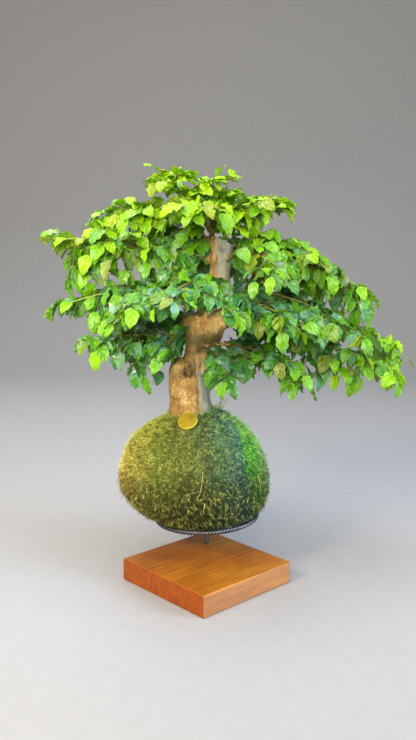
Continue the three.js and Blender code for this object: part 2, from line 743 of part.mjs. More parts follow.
kokedama.add(piece('trunk', geometryOf(trunk), finish.bark));
sprays.forEach((spray, i) => kokedama.add(piece(`spray_${boughs[i].name}`, spray, finish.leaf)));

export default kokedama;
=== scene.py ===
import json
import math
from bisect import bisect_right
from itertools import accumulate
import bmesh
import bpy
from mathutils import Matrix, Vector, noise

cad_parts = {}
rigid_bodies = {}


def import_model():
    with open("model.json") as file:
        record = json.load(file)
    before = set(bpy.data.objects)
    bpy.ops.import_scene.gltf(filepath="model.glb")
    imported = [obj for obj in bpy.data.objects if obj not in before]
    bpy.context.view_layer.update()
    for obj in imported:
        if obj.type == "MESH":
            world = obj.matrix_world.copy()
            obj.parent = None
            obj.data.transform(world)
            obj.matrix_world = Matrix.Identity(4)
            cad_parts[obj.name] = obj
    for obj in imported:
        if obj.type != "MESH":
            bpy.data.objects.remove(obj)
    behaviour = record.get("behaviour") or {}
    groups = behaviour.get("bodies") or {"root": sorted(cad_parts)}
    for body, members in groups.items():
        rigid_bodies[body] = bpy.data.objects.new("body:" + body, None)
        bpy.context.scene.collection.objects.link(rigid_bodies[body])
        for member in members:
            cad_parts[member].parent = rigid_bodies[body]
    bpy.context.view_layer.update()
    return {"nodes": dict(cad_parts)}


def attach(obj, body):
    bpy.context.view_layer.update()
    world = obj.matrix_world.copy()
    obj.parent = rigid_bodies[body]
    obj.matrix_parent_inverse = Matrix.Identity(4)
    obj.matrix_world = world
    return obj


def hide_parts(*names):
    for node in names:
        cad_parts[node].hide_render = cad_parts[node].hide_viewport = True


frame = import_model()
mm = 0.001
up = Vector((0, 0, 1))
fullTurn = 2 * math.pi
print("frame loaded:", len(frame["nodes"]), "nodes")

# The photograph's own viewpoint
view = {"place": (-0.000212, -0.960144, 0.422787), "pitch": 9.00588, "roll": 0.51994, "lens": 38.919}


# Small helpers

def linear(hexColour):
    parts = [int(hexColour[i:i + 2], 16) / 255 for i in (1, 3, 5)]
    return tuple(c / 12.92 if c <= 0.04045 else ((c + 0.055) / 1.055) ** 2.4 for c in parts) + (1.0,)


# Adds a node with its settings and links, and gives back one of its outputs. The inputs are a list
# in the node's own order, or a dictionary by name or number
def addNode(tree, kind, inputs=(), output=0, stops=(), **settings):
    node = tree.nodes.new(kind)
    for name, value in settings.items():
        setattr(node, name, value)
    for name, value in inputs.items() if isinstance(inputs, dict) else enumerate(inputs):
        if isinstance(value, bpy.types.NodeSocket):
            tree.links.new(value, node.inputs[name])
        else:
            node.inputs[name].default_value = value
    if stops:
        elements = node.color_ramp.elements
        while len(elements) < len(stops):
            elements.new(1.0)
        for element, (place, colour) in zip(elements, stops):
            element.position = place
            element.color = linear(colour)
    return node.outputs[output] if node.outputs else None


def bakeModifiers(thing):
    bpy.context.view_layer.update()
    shown = thing.evaluated_get(bpy.context.evaluated_depsgraph_get())
    mesh = bpy.data.meshes.new_from_object(shown)
    thing.modifiers.clear()
    thing.data = mesh
    return thing


# A bmesh drawn in millimetres becomes an object in metres
def makeObject(name, bm, materials, smooth=True, turnOut=True):
    if turnOut:
        bmesh.ops.recalc_face_normals(bm, faces=bm.faces)
    mesh = bpy.data.meshes.new(name)
    for face in bm.faces:
        face.smooth = smooth
    bm.to_mesh(mesh)
    bm.free()
    mesh.transform(Matrix.Scale(mm, 4))
    for material in materials:
        mesh.materials.append(material)
    thing = bpy.data.objects.new(name, mesh)
    bpy.context.scene.collection.objects.link(thing)
    return thing


def placePiece(thing, slotName, *nodes):
    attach(thing, "root")
    if nodes:
        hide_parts(*nodes)
    return thing


def randomStream(seed):
    span = 2 ** 32
    state = seed % span

    def draw():
        nonlocal state
        state = (state * 1664525 + 1013904223) % span
        return state / span
    return draw


def smoothStep(low, high, value):
    share = min(max((value - low) / (high - low), 0), 1)
    return share * share * (3 - 2 * share)


def bell(value, width):
    return math.exp(-(value / width) ** 2)


# A soft spot round a place: 1 in its middle, fading over its sizes across, deep and high
def spot(point, place, sizes):
    return math.exp(-sum(((p - q) / size) ** 2 for p, q, size in zip(point, place, sizes)))


# Lines and tubes

def bezierLine(start, via, end):
    return lambda t: start * (1 - t) ** 2 + via * (2 * t * (1 - t)) + end * t ** 2


def stretch(line, low, high):
    return lambda t: line(low + (high - low) * t)


def lineLength(line):
    points = [line(i / 200) for i in range(201)]
    return sum((b - a).length for a, b in zip(points, points[1:]))


def tangentOf(line, t):
    return (line(min(t + 0.0005, 1)) - line(max(t - 0.0005, 0))).normalized()


# A smooth line through points, which keeps to them even where they lie unevenly
def smoothLine(points):
    points = [Vector(point) for point in points]
    count = len(points)

    def at(t):
        place = min(max(t, 0), 1) * (count - 1)
        low = min(int(place), count - 2)
        share = place - low
        b, c = points[low], points[low + 1]
        a = points[low - 1] if low > 0 else b * 2 - c
        d = points[low + 2] if low + 2 < count else c * 2 - b
        first, mid, last = [max((q - p).length ** 0.5, 1e-3) for p, q in ((a, b), (b, c), (c, d))]
        leave = ((b - a) / first - (c - a) / (first + mid) + (c - b) / mid) * mid
        reach = ((c - b) / mid - (d - b) / (mid + last) + (d - c) / last) * mid
        return (
            b + leave * share + (c * 3 - b * 3 - leave * 2 - reach) * share ** 2
            + (b * 2 - c * 2 + leave + reach) * share ** 3
        )
    return at


def frameOf(direction):
    side = direction.cross(up).normalized()
    return side, side.cross(direction).normalized()


# A grid wrapped round a line and drawn to a point at both ends
def addTube(bm, line, radiusAt, sides, steps, section=None, twist=0.0):
    chord = (line(1) - line(0)).normalized()
    across = Vector((0, 1, 0)) if abs(chord.z) > 0.8 else up
    rowCount = steps + 2
    made = bmesh.ops.create_grid(
        bm, x_segments=sides, y_segments=rowCount, size=0.5, calc_uvs=True)["verts"]
    rows = {}
    for vert in made:
        row = round((vert.co.y + 0.5) * rowCount)
        along = min(max(row - 1, 0) / steps, 1)
        if row not in rows:
            tangent = tangentOf(line, along)
            side = tangent.cross(across).normalized()
            rows[row] = (line(along), side, side.cross(tangent).normalized(), radiusAt(along))
        centre, side, other, radius = rows[row]
        angle = -(vert.co.x + 0.5) * fullTurn
        reach = 0 if row in (0, rowCount) else radius * (section(angle) if section else 1)
        turned = angle + twist * along
        vert.co = centre + side * (math.cos(turned) * reach) + other * (math.sin(turned) * reach)
    faces = {face for vert in made for face in vert.link_faces}
    bmesh.ops.remove_doubles(bm, verts=made, dist=1e-4)
    return [face for face in faces if face.is_valid]


# A grid bent into a closed skin by a rule that takes its two shares, from 0 to 1
def addSkin(bm, around, rows, pointAt):
    for vert in bmesh.ops.create_grid(bm, x_segments=around, y_segments=rows, size=0.5)["verts"]:
        vert.co = pointAt(vert.co.x + 0.5, vert.co.y + 0.5)
    bmesh.ops.remove_doubles(bm, verts=bm.verts, dist=1e-3)


# Materials

def startMaterial(name, **settings):
    material = bpy.data.materials.new(name)
    material.use_nodes = True
    shader = material.node_tree.nodes["Principled BSDF"]
    for socket, value in settings.items():
        shader.inputs[socket.replace("_", " ")].default_value = value
    return material, material.node_tree, shader


def linkShader(shader, **sockets):
    for socket, value in sockets.items():
        shader.id_data.links.new(value, shader.inputs[socket.replace("_", " ")])


def objectCoords(tree, scale=(1, 1, 1), turn=0.0):
    coords = addNode(tree, "ShaderNodeTexCoord", output="Object")
    if turn:
        coords = addNode(tree, "ShaderNodeVectorRotate", {
            "Vector": coords, "Angle": math.radians(-turn)}, rotation_type="Z_AXIS")
    return addNode(tree, "ShaderNodeMapping", {"Vector": coords, "Scale": scale})


# Privet leaf: a waxy skin gives a crisp highlight over a green that runs from lime at the shoot
# tips to blue-green inside, partly a painted cool sheen, with a paler folded midrib, a matt, paler
# underside, painted bluish sheen in patches and painted backlit olive on a few leaves
def leafMaterial():
    material, tree, shader = startMaterial(
        "waxyPrivetLeaf", Coat_Roughness=0.22, Specular_IOR_Level=0.35)
    age, tone = [
        addNode(tree, "ShaderNodeAttribute", output="Fac", attribute_name=name)
        for name in ("age", "tone")
    ]
    coords = objectCoords(tree)
    uv = addNode(tree, "ShaderNodeUVMap")
    across, along, _ = addNode(tree, "ShaderNodeSeparateXYZ", [uv]).node.outputs
    doubled = addNode(tree, "ShaderNodeMath", [across, 2.0, -1.0], operation="MULTIPLY_ADD")
    folded = addNode(tree, "ShaderNodeMath", [doubled], operation="ABSOLUTE")
    offRib = addNode(tree, "ShaderNodeMath", [folded, 0.5], operation="SUBTRACT")
    fromRib = addNode(tree, "ShaderNodeMath", [offRib], operation="ABSOLUTE")
    underside = addNode(tree, "ShaderNodeMath", [across, 0.5], operation="GREATER_THAN")
    rib = addNode(tree, "ShaderNodeMapRange", [fromRib, 0.0, 0.05, 1.0, 0.0])
    # side veins that sweep towards the tip
    rows = addNode(tree, "ShaderNodeMath", [along, 8.0], operation="MULTIPLY")
    sweep = addNode(tree, "ShaderNodeMath", [fromRib, -5.0, rows], operation="MULTIPLY_ADD")
    veinWave = addNode(tree, "ShaderNodeMath", [sweep, 1.0], operation="PINGPONG")
    vein = addNode(tree, "ShaderNodeMapRange", [veinWave, 0.0, 0.16, 0.7, 0.0])
    lines = addNode(tree, "ShaderNodeMath", [rib, vein], operation="MAXIMUM")
    mottle = addNode(tree, "ShaderNodeTexNoise", {
        "Vector": coords, "Scale": 160.0, "Detail": 3.0, "Roughness": 0.6})
    older = addNode(tree, "ShaderNodeMath", [age, -0.15], operation="ADD")
    aged = addNode(tree, "ShaderNodeMath", [mottle, 0.3, older], operation="MULTIPLY_ADD")
    colour = addNode(tree, "ShaderNodeValToRGB", [aged], stops=[
        (0.0, "#1e6422"), (0.22, "#3e9018"), (0.45, "#66b40e"), (0.68, "#94d40c"), (0.95, "#bcea0e")])
    # inner leaves turn blue-green: partly their own darker green, partly a painted cool sheen
    inner = addNode(tree, "ShaderNodeMath", [age, -0.7, tone], operation="MULTIPLY_ADD")
    blueGreenAndSheen = addNode(tree, "ShaderNodeMapRange", [inner, 0.1, 0.7, 0.0, 0.46])
    lined = addNode(tree, "ShaderNodeMath", [lines, 0.24], operation="MULTIPLY")

    # how much a leaf takes of a colour that only some have: drawn from its tone, and more or less by age
    def someLeaves(spin, drawnRange, ageRange):
        spun = addNode(tree, "ShaderNodeMath", [tone, spin], operation="MULTIPLY")
        drawn = addNode(tree, "ShaderNodeMath", [spun], operation="FRACT")
        picked = addNode(tree, "ShaderNodeMapRange", [drawn, *drawnRange])
        byAge = addNode(tree, "ShaderNodeMapRange", [age, *ageRange])
        return addNode(tree, "ShaderNodeMath", [picked, byAge], operation="MULTIPLY")
    # one leaf in six or so is painted olive as if lit from behind, and every other one has a painted
    # bluish sheen in patches
    backlitOlive = someLeaves(7.0, (0.82, 0.9), (0.15, 0.5, 0.1, 0.6))
    sheenedLeaves = someLeaves(13.0, (0.35, 0.7), (0.35, 0.8, 0.95, 0.04))
    cloud = addNode(tree, "ShaderNodeTexNoise", {
        "Vector": coords, "Scale": 95.0, "Detail": 4.0, "Roughness": 0.65, "Distortion": 0.4})
    patches = addNode(tree, "ShaderNodeMapRange", [cloud, 0.48, 0.6, 0.0, 0.56])
    paintedSheen = addNode(tree, "ShaderNodeMath", [sheenedLeaves, patches], operation="MULTIPLY")
    below = addNode(tree, "ShaderNodeMath", [underside, 0.3], operation="MULTIPLY")
    layers = [
        (blueGreenAndSheen, "#1c6c5c"), (lined, "#a9d455"), (backlitOlive, "#a09c2c"), (paintedSheen, "#98c6cc"),
        (below, "#a5c95a"),
    ]
    for share, over in layers:
        colour = addNode(
            tree, "ShaderNodeMix", {0: share, 6: colour, 7: linear(over)}, 2, data_type="RGBA")
    # the blade is puckered between its veins, which breaks its shine up
    pucker = addNode(tree, "ShaderNodeTexNoise", {
        "Vector": coords, "Scale": 240.0, "Detail": 2.0, "Roughness": 0.5})
    between = addNode(tree, "ShaderNodeMath", [veinWave, 0.45], operation="MULTIPLY")
    quilt = addNode(tree, "ShaderNodeMath", [pucker, 1.5, between], operation="MULTIPLY_ADD")
    height = addNode(tree, "ShaderNodeMath", [lines, -0.5, quilt], operation="MULTIPLY_ADD")
    linkShader(
        shader, Base_Color=colour,
        Roughness=addNode(tree, "ShaderNodeMapRange", [underside, 0.0, 1.0, 0.32, 0.6]),
        # inner, older leaves carry more wax
        Coat_Weight=addNode(tree, "ShaderNodeMapRange", [age, 0.3, 0.85, 0.75, 0.15]),
        Normal=addNode(tree, "ShaderNodeBump", {"Height": height, "Strength": 0.9, "Distance": 0.0016}))
    # light comes through the blade
    glow = addNode(
        tree, "ShaderNodeMix", {0: 0.55, 6: colour, 7: linear("#b8dc2c")}, 2, data_type="RGBA")
    through = addNode(tree, "ShaderNodeBsdfTranslucent", {"Color": glow})
    both = addNode(tree, "ShaderNodeMixShader", [0.3, shader.outputs[0], through])
    tree.links.new(both, tree.nodes["Material Output"].inputs["Surface"])
    return material


# Green privet twig: thin smooth bark, tan with a green cast where it is young
def twigMaterial():
    material, tree, shader = startMaterial("youngTwigBark", Roughness=0.6)
    age = addNode(tree, "ShaderNodeAttribute", output="Fac", attribute_name="age")
    streak = addNode(tree, "ShaderNodeTexNoise", {
        "Vector": objectCoords(tree), "Scale": 420.0, "Detail": 3.0})
    older = addNode(tree, "ShaderNodeMath", [age, -0.25], operation="ADD")
    aged = addNode(tree, "ShaderNodeMath", [streak, 0.5, older], operation="MULTIPLY_ADD")
    colour = addNode(tree, "ShaderNodeValToRGB", [aged], stops=[
        (0.0, "#5d5628"), (0.35, "#7c7834"), (0.7, "#93a03c"), (1.0, "#8ab438")])
    bump = addNode(tree, "ShaderNodeBump", {"Height": streak, "Strength": 0.4, "Distance": 0.0004})
    linkShader(shader, Base_Color=colour, Normal=bump)
    return material


# Privet bark: thin, closely speckled with breathing pores, golden-tan and browner on the old stump,
# with a grey side that is painted cool light, dark fibres, rot and painted shade in the old cut and
# its cracks, painted olive shade under the burl and pale sawn faces
def barkMaterial():
    material, tree, shader = startMaterial("specklePrivetBark", Roughness=0.78)
    coords = objectCoords(tree)
    patterns = [
        (coords, 45.0, 4.0, 0.65), (coords, 560.0, 3.0, 0.7),
        (objectCoords(tree, scale=(260, 260, 40)), 1.0, 4.0, 0.6),
    ]
    broad, grit, streak = [
        addNode(tree, "ShaderNodeTexNoise", {
            "Vector": place, "Scale": scale, "Detail": detail, "Roughness": roughness})
        for place, scale, detail, roughness in patterns
    ]
    speckle = addNode(
        tree, "ShaderNodeTexVoronoi", {"Vector": coords, "Scale": 520.0, "Randomness": 1.0}, "Distance")
    pore = addNode(tree, "ShaderNodeMapRange", [speckle, 0.12, 0.34, 1.0, 0.0])
    dots = addNode(tree, "ShaderNodeMath", [pore, 0.4], operation="MULTIPLY")
    broadly = addNode(tree, "ShaderNodeMath", [broad, 0.4], operation="MULTIPLY")
    rough = addNode(tree, "ShaderNodeMath", [grit, 0.4, broadly], operation="MULTIPLY_ADD")
    mixed = addNode(tree, "ShaderNodeMath", [streak, 0.2, rough], operation="MULTIPLY_ADD")
    colour = addNode(tree, "ShaderNodeValToRGB", [mixed], stops=[
        (0.4, "#7a5c2c"), (0.46, "#ac8644"), (0.53, "#d0ac60"), (0.62, "#f0e0b0")])
    layers = [(dots, "#f0dcb0")]
    # what is painted on the trunk, the pattern that breaks it up, and its colour
    painted = [
        ("warm", [rough, 0.3, 0.5, 0.85, 0.1], "#7e5a26"),
        # painted cool light: grey on the side that faces right
        ("coolLitGrey", [streak, 0.25, 0.5], "#b0b6a8"),
        # dark bark, rot and painted shade in the cracks and hollows
        ("darkBarkAndShade", [streak, 0.35, 0.6, 1.0, 0.55], "#2a2010"),
        # painted olive shade under the burl
        ("burlShadow", None, "#4c4822"),
        ("sawn", None, "#d8c8a4"),
    ]
    for name, pattern, over in painted:
        share = addNode(tree, "ShaderNodeAttribute", output="Fac", attribute_name=name)
        if pattern:
            broken = addNode(tree, "ShaderNodeMapRange", pattern)
            share = addNode(tree, "ShaderNodeMath", [share, broken], operation="MULTIPLY")
        layers.append((share, over))
    for share, over in layers:
        colour = addNode(
            tree, "ShaderNodeMix", {0: share, 6: colour, 7: linear(over)}, 2, data_type="RGBA")
    height = addNode(tree, "ShaderNodeMath", [streak, 0.7, grit], operation="MULTIPLY_ADD")
    bump = addNode(tree, "ShaderNodeBump", {"Height": height, "Strength": 0.75, "Distance": 0.0012})
    linkShader(shader, Base_Color=colour, Normal=bump)
    return material


# Sheet moss: fine damp strands with no shine, olive-gold on the left, blue-green in the middle and
# fresh green down the right, with painted light on its top and left and painted shade between and
# under the strands
def mossMaterial(name, isSkin):
    material, tree, shader = startMaterial(name, Roughness=0.85, Specular_IOR_Level=0.25)
    coords = objectCoords(tree)
    x, y, z = addNode(tree, "ShaderNodeSeparateXYZ", [coords]).node.outputs
    tone = addNode(tree, "ShaderNodeAttribute", output="Fac", attribute_name="tone")
    patch, clump = [
        addNode(tree, "ShaderNodeTexNoise", {
            "Vector": coords, "Scale": scale, "Detail": detail, "Roughness": roughness})
        for scale, detail, roughness in ((24.0, 5.0, 0.65), (130.0, 4.0, 0.7))
    ]
    across = addNode(tree, "ShaderNodeMapRange", [x, -0.11, 0.08, -0.18, 0.8], clamp=False)
    higher = addNode(tree, "ShaderNodeMath", [z, 0.9, -0.12], operation="MULTIPLY_ADD")
    deeper = addNode(tree, "ShaderNodeMath", [y, 0.9, higher], operation="MULTIPLY_ADD")
    share = addNode(tree, "ShaderNodeMath", [across, deeper], operation="ADD")
    # each strand takes its colour from a little to one side, so that the zones run into each other
    strand = addNode(tree, "ShaderNodeMath", [
        tone, *((0.0, -0.1) if isSkin else (0.12, -0.16))], operation="MULTIPLY_ADD")
    patchy = addNode(tree, "ShaderNodeMath", [patch, 0.34, strand], operation="MULTIPLY_ADD")
    rough = addNode(tree, "ShaderNodeMath", [clump, 0.2, patchy], operation="MULTIPLY_ADD")
    zone = addNode(tree, "ShaderNodeMath", [rough, share], operation="ADD")
    colour = addNode(tree, "ShaderNodeValToRGB", [zone], stops=[
        (0.0, "#bca450"), (0.14, "#b2ae4a"), (0.3, "#97a540"), (0.45, "#88923f"), (0.58, "#728c52"),
        (0.68, "#6e9e68"), (0.78, "#589490"), (0.86, "#68a856"), (0.95, "#8abe6c"), (1.0, "#9cc084")])

    # a vivid patch of young moss on the right, halfway up
    def nearTo(value, middle, fade):
        off = addNode(tree, "ShaderNodeMath", [value, middle], operation="SUBTRACT")
        away = addNode(tree, "ShaderNodeMath", [off], operation="ABSOLUTE")
        return addNode(tree, "ShaderNodeMapRange", [away, *fade])
    young = addNode(tree, "ShaderNodeMath", [
        nearTo(zone, 0.875, (0.025, 0.06, 1.0, 0.0)), nearTo(z, 0.148, (0.02, 0.055, 1.0, 0.12)),
    ], operation="MULTIPLY")
    colour = addNode(
        tree, "ShaderNodeMix", {0: young, 6: colour, 7: linear("#6cd440")}, 2, data_type="RGBA")
    # lighter and darker clumps, and painted light: paler towards the top of the ball and its left
    upwards = addNode(tree, "ShaderNodeMapRange", [z, 0.06, 0.205])
    leftward = addNode(tree, "ShaderNodeMapRange", [x, -0.11, -0.02, 0.17, 0.0])
    height = addNode(tree, "ShaderNodeMath", [upwards, leftward], operation="ADD")
    steep = addNode(tree, "ShaderNodeMath", [height, 3.6], operation="POWER")
    grown = addNode(tree, "ShaderNodeMath", [steep, 4.0, 0.2], operation="MULTIPLY_ADD")
    paintedLight = addNode(tree, "ShaderNodeMath", [grown, 1.4], operation="MINIMUM")
    clumped = addNode(tree, "ShaderNodeMapRange", [clump, 0.32, 0.68, 0.62, 1.38])
    for factor in (clumped, paintedLight):
        colour = addNode(tree, "ShaderNodeVectorMath", {0: colour, 3: factor}, operation="SCALE")
    # painted shade: dark between the strands of the bed, and at the foot of each strand
    if isSkin:
        fine = addNode(tree, "ShaderNodeTexNoise", {
            "Vector": coords, "Scale": 520.0, "Detail": 4.0, "Roughness": 0.7})
        paintedShade = addNode(tree, "ShaderNodeMapRange", [fine, 0.35, 0.7, 0.92, 0.45])
        linkShader(shader, Normal=addNode(tree, "ShaderNodeBump", {
            "Height": fine, "Strength": 1.0, "Distance": 0.003}))
    else:
        reach = addNode(tree, "ShaderNodeAttribute", output="Fac", attribute_name="reach")
        paintedShade = addNode(tree, "ShaderNodeMapRange", [reach, 0.05, 0.7, 0.85, 0.0])
    colour = addNode(
        tree, "ShaderNodeMix", {0: paintedShade, 6: colour, 7: linear("#20260e")}, 2, data_type="RGBA")
    if not isSkin:
        # strands differ from one another, and a few are pale
        strength = addNode(tree, "ShaderNodeMapRange", [tone, 0.0, 1.0, 0.4, 1.85])
        toned = addNode(tree, "ShaderNodeVectorMath", {0: colour, 3: strength}, operation="SCALE")
        pale = addNode(tree, "ShaderNodeMapRange", [tone, 0.7, 0.97, 0.0, 0.78])
        colour = addNode(
            tree, "ShaderNodeMix", {0: pale, 6: toned, 7: linear("#cdd06a")}, 2, data_type="RGBA")
    linkShader(shader, Base_Color=colour)
    return material


# Dry moss stalk: pale straw with a little gloss, greener where a blade of grass is still fresh
def stalkMaterial():
    material, tree, shader = startMaterial("dryMossStalk", Roughness=0.5)
    age = addNode(tree, "ShaderNodeAttribute", output="Fac", attribute_name="age")
    fleck = addNode(tree, "ShaderNodeTexNoise", {
        "Vector": objectCoords(tree), "Scale": 300.0, "Detail": 3.0})
    straw = addNode(tree, "ShaderNodeValToRGB", [fleck], stops=[(0.35, "#9c8a3c"), (0.6, "#cabf62")])
    colour = addNode(
        tree, "ShaderNodeMix", {0: age, 6: straw, 7: linear("#8fa566")}, 2, data_type="RGBA")
    linkShader(shader, Base_Color=colour)
    return material


# Damp potting soil: dark crumbs with no shine
def soilMaterial():
    material, tree, shader = startMaterial("pottingSoil", Roughness=0.95)
    crumbs = addNode(tree, "ShaderNodeTexNoise", {
        "Vector": objectCoords(tree), "Scale": 300.0, "Detail": 5.0})
    colour = addNode(tree, "ShaderNodeValToRGB", [crumbs], stops=[(0.35, "#1a120b"), (0.65, "#4a3826")])
    bump = addNode(tree, "ShaderNodeBump", {"Height": crumbs, "Strength": 1.0, "Distance": 0.002})
    linkShader(shader, Base_Color=colour, Normal=bump)
    return material


# Twisted square steel bar, hot rolled and waxed: a dark skin of scale, rubbed bright along the edges
def steelMaterial():
    material, tree, shader = startMaterial("waxedTwistedSteel", Metallic=1.0)
    coords = objectCoords(tree)
    wear = addNode(tree, "ShaderNodeAttribute", output="Fac", attribute_name="wear")
    scale = addNode(tree, "ShaderNodeTexNoise", {
        "Vector": coords, "Scale": 650.0, "Detail": 4.0, "Roughness": 0.6})
    blotch = addNode(tree, "ShaderNodeTexNoise", {"Vector": coords, "Scale": 90.0, "Detail": 3.0})
    skin = addNode(tree, "ShaderNodeValToRGB", [scale], stops=[(0.35, "#2e3034"), (0.65, "#52565a")])
    patchy = addNode(tree, "ShaderNodeMapRange", [blotch, 0.3, 0.65, 0.35, 1.0])
    rubbed = addNode(tree, "ShaderNodeMath", [wear, patchy], operation="MULTIPLY")
    colour = addNode(
        tree, "ShaderNodeMix", {0: rubbed, 6: skin, 7: linear("#c6cad0")}, 2, data_type="RGBA")
    rough = addNode(tree, "ShaderNodeMapRange", [scale, 0.3, 0.7, 0.34, 0.52])
    bump = addNode(tree, "ShaderNodeBump", {"Height": scale, "Strength": 0.25, "Distance": 0.0003})
    linkShader(shader, Base_Color=colour, Roughness=rough, Normal=bump)
    return material


# Stained and waxed pine block: a satin red-brown with the grain showing as darker lines, which run
# along the block, turned as it is
def stainedWoodMaterial(turn):
    material, tree, shader = startMaterial(
        "stainedWaxedPine", Coat_Weight=0.06, Coat_Roughness=0.25, Specular_IOR_Level=0.25)
    patterns = [((12, 420, 210), 6.0, 0.7), ((60, 1500, 260), 3.0, 0.6), ((120, 150, 90), 4.0, 0.75)]
    grain, fibre, pores = [
        addNode(tree, "ShaderNodeTexNoise", {
            "Vector": objectCoords(tree, scale, turn), "Scale": 1.0, "Detail": detail,
            "Roughness": roughness})
        for scale, detail, roughness in patterns
    ]
    cloud = addNode(tree, "ShaderNodeTexNoise", {
        "Vector": objectCoords(tree), "Scale": 14.0, "Detail": 3.0, "Roughness": 0.5})
    cloudy = addNode(tree, "ShaderNodeMath", [cloud, 0.42], operation="MULTIPLY")
    mixed = addNode(tree, "ShaderNodeMath", [grain, 0.6, cloudy], operation="MULTIPLY_ADD")
    colour = addNode(tree, "ShaderNodeValToRGB", [mixed], stops=[
        (0.34, "#7c4210"), (0.46, "#9a5814"), (0.56, "#ae6a1a"), (0.68, "#c68628")])
    # end grain soaks up more stain than the faces along the grain, and those faces are painted paler, a
    # painted sheen
    facing = addNode(tree, "ShaderNodeVectorRotate", {
        "Vector": addNode(tree, "ShaderNodeNewGeometry", output="Normal"), "Angle": math.radians(-turn),
    }, rotation_type="Z_AXIS")
    ends, sides, _ = addNode(tree, "ShaderNodeSeparateXYZ", [facing]).node.outputs

    def sideMask(side, most):
        turned = addNode(tree, "ShaderNodeMath", [side], operation="ABSOLUTE")
        return addNode(tree, "ShaderNodeMapRange", [turned, 0.6, 0.9, 0.0, most])
    lined = addNode(tree, "ShaderNodeMapRange", [fibre, 0.5, 0.75, 0.0, 0.3])
    # the end grain takes a deep orange stain, and the faces along the grain a painted pale sheen
    layers = [(lined, "#6a3410"), (sideMask(ends, 0.93), "#9a4800"), (sideMask(sides, 0.5), "#b68a66")]
    for share, over in layers:
        colour = addNode(
            tree, "ShaderNodeMix", {0: share, 6: colour, 7: linear(over)}, 2, data_type="RGBA")
    # the end grain shows its pores, and the other faces show streaks
    streaky = addNode(tree, "ShaderNodeMapRange", [grain, 0.32, 0.68, 0.92, 1.06])
    porous = addNode(tree, "ShaderNodeMapRange", [pores, 0.34, 0.66, 0.7, 1.25])
    marked = addNode(tree, "ShaderNodeMix", {
        0: sideMask(ends, 1.0), 2: streaky, 3: porous}, data_type="FLOAT")
    colour = addNode(tree, "ShaderNodeVectorMath", {0: colour, 3: marked}, operation="SCALE")
    rough = addNode(tree, "ShaderNodeMapRange", [grain, 0.3, 0.7, 0.3, 0.46])
    bump = addNode(tree, "ShaderNodeBump", {"Height": fibre, "Strength": 0.15, "Distance": 0.0004})
    linkShader(shader, Base_Color=colour, Roughness=rough, Normal=bump)
    return material


# Stamped brass under yellow lacquer: warm and satin rather than a mirror, deeper in its low parts
def brassMaterial():
    material, tree, shader = startMaterial("lacqueredYellowBrass", Metallic=0.55, Coat_Weight=0.4)
    low = addNode(tree, "ShaderNodeAttribute", output="Fac", attribute_name="low")
    cloud = addNode(tree, "ShaderNodeTexNoise", {
        "Vector": objectCoords(tree), "Scale": 500.0, "Detail": 4.0})
    lacquer = addNode(tree, "ShaderNodeValToRGB", [cloud], stops=[(0.3, "#ecca30"), (0.6, "#fff060")])
    colour = addNode(
        tree, "ShaderNodeMix", {0: low, 6: lacquer, 7: linear("#a8841a")}, 2, data_type="RGBA")
    rough = addNode(tree, "ShaderNodeMapRange", [cloud, 0.3, 0.7, 0.36, 0.5])
    bump = addNode(tree, "ShaderNodeBump", {"Height": cloud, "Strength": 0.1, "Distance": 0.0002})
    linkShader(shader, Base_Color=colour, Roughness=rough, Normal=bump)
    return material


# Matt paper: a pale, even floor with a faint grain
def floorMaterial():
    material, tree, shader = startMaterial("paleMattPaper", Roughness=0.8)
    grain = addNode(tree, "ShaderNodeTexNoise", {
        "Vector": objectCoords(tree), "Scale": 60.0, "Detail": 3.0})
    colour = addNode(tree, "ShaderNodeValToRGB", [grain], stops=[(0.3, "#a6a39e"), (0.7, "#aaa7a2")])
    linkShader(shader, Base_Color=colour)
    return material


leafBlade = leafMaterial()
twigBark = twigMaterial()
bark = barkMaterial()
mossSkinLook = mossMaterial("dampMossBed", True)
mossStrandLook = mossMaterial("dampMossStrand", False)
dryStalk = stalkMaterial()
soil = soilMaterial()
steel = steelMaterial()
brass = brassMaterial()
print("materials made")


# The wooden block

block = {
    "side": 150, "thickness": 28, "turn": 43.5, "easedEdge": 2.2, "edgeSteps": 4,
    "holeDepth": 18, "holeRadius": 3.85,
}
stainedWood = stainedWoodMaterial(block["turn"])


def makeBlock(postX, postY):
    bm = bmesh.new()
    bmesh.ops.create_cube(bm, size=1)
    bmesh.ops.scale(bm, verts=bm.verts, vec=(block["side"], block["side"], block["thickness"]))
    bmesh.ops.bevel(
        bm, geom=bm.edges[:], offset=block["easedEdge"], offset_type="OFFSET", affect="EDGES",
        segments=block["edgeSteps"], profile=0.5, material=-1)
    bmesh.ops.rotate(
        bm, verts=bm.verts, cent=(0, 0, 0), matrix=Matrix.Rotation(math.radians(block["turn"]), 3, "Z"))
    bmesh.ops.translate(bm, verts=bm.verts, vec=(0, 0, block["thickness"] / 2))
    thing = makeObject("woodBlock", bm, [stainedWood])
    drill = bmesh.new()
    bmesh.ops.create_cone(
        drill, cap_ends=True, segments=40, radius1=block["holeRadius"], radius2=block["holeRadius"],
        depth=block["holeDepth"] * 2, matrix=Matrix.Translation((postX, postY, block["thickness"])))
    cutter = makeObject("cutter", drill, [])
    hole = thing.modifiers.new("hole", "BOOLEAN")
    hole.object = cutter
    hole.solver = "EXACT"
    bakeModifiers(thing)
    bpy.data.objects.remove(cutter)
    for polygon in thing.data.polygons:
        flat = min(abs(c) for c in polygon.normal) <= 1e-4
        polygon.use_smooth = not flat or 1e-4 < polygon.normal.z < 0.999
    return placePiece(thing, "stained_wood", "base_block")


# The steel stand

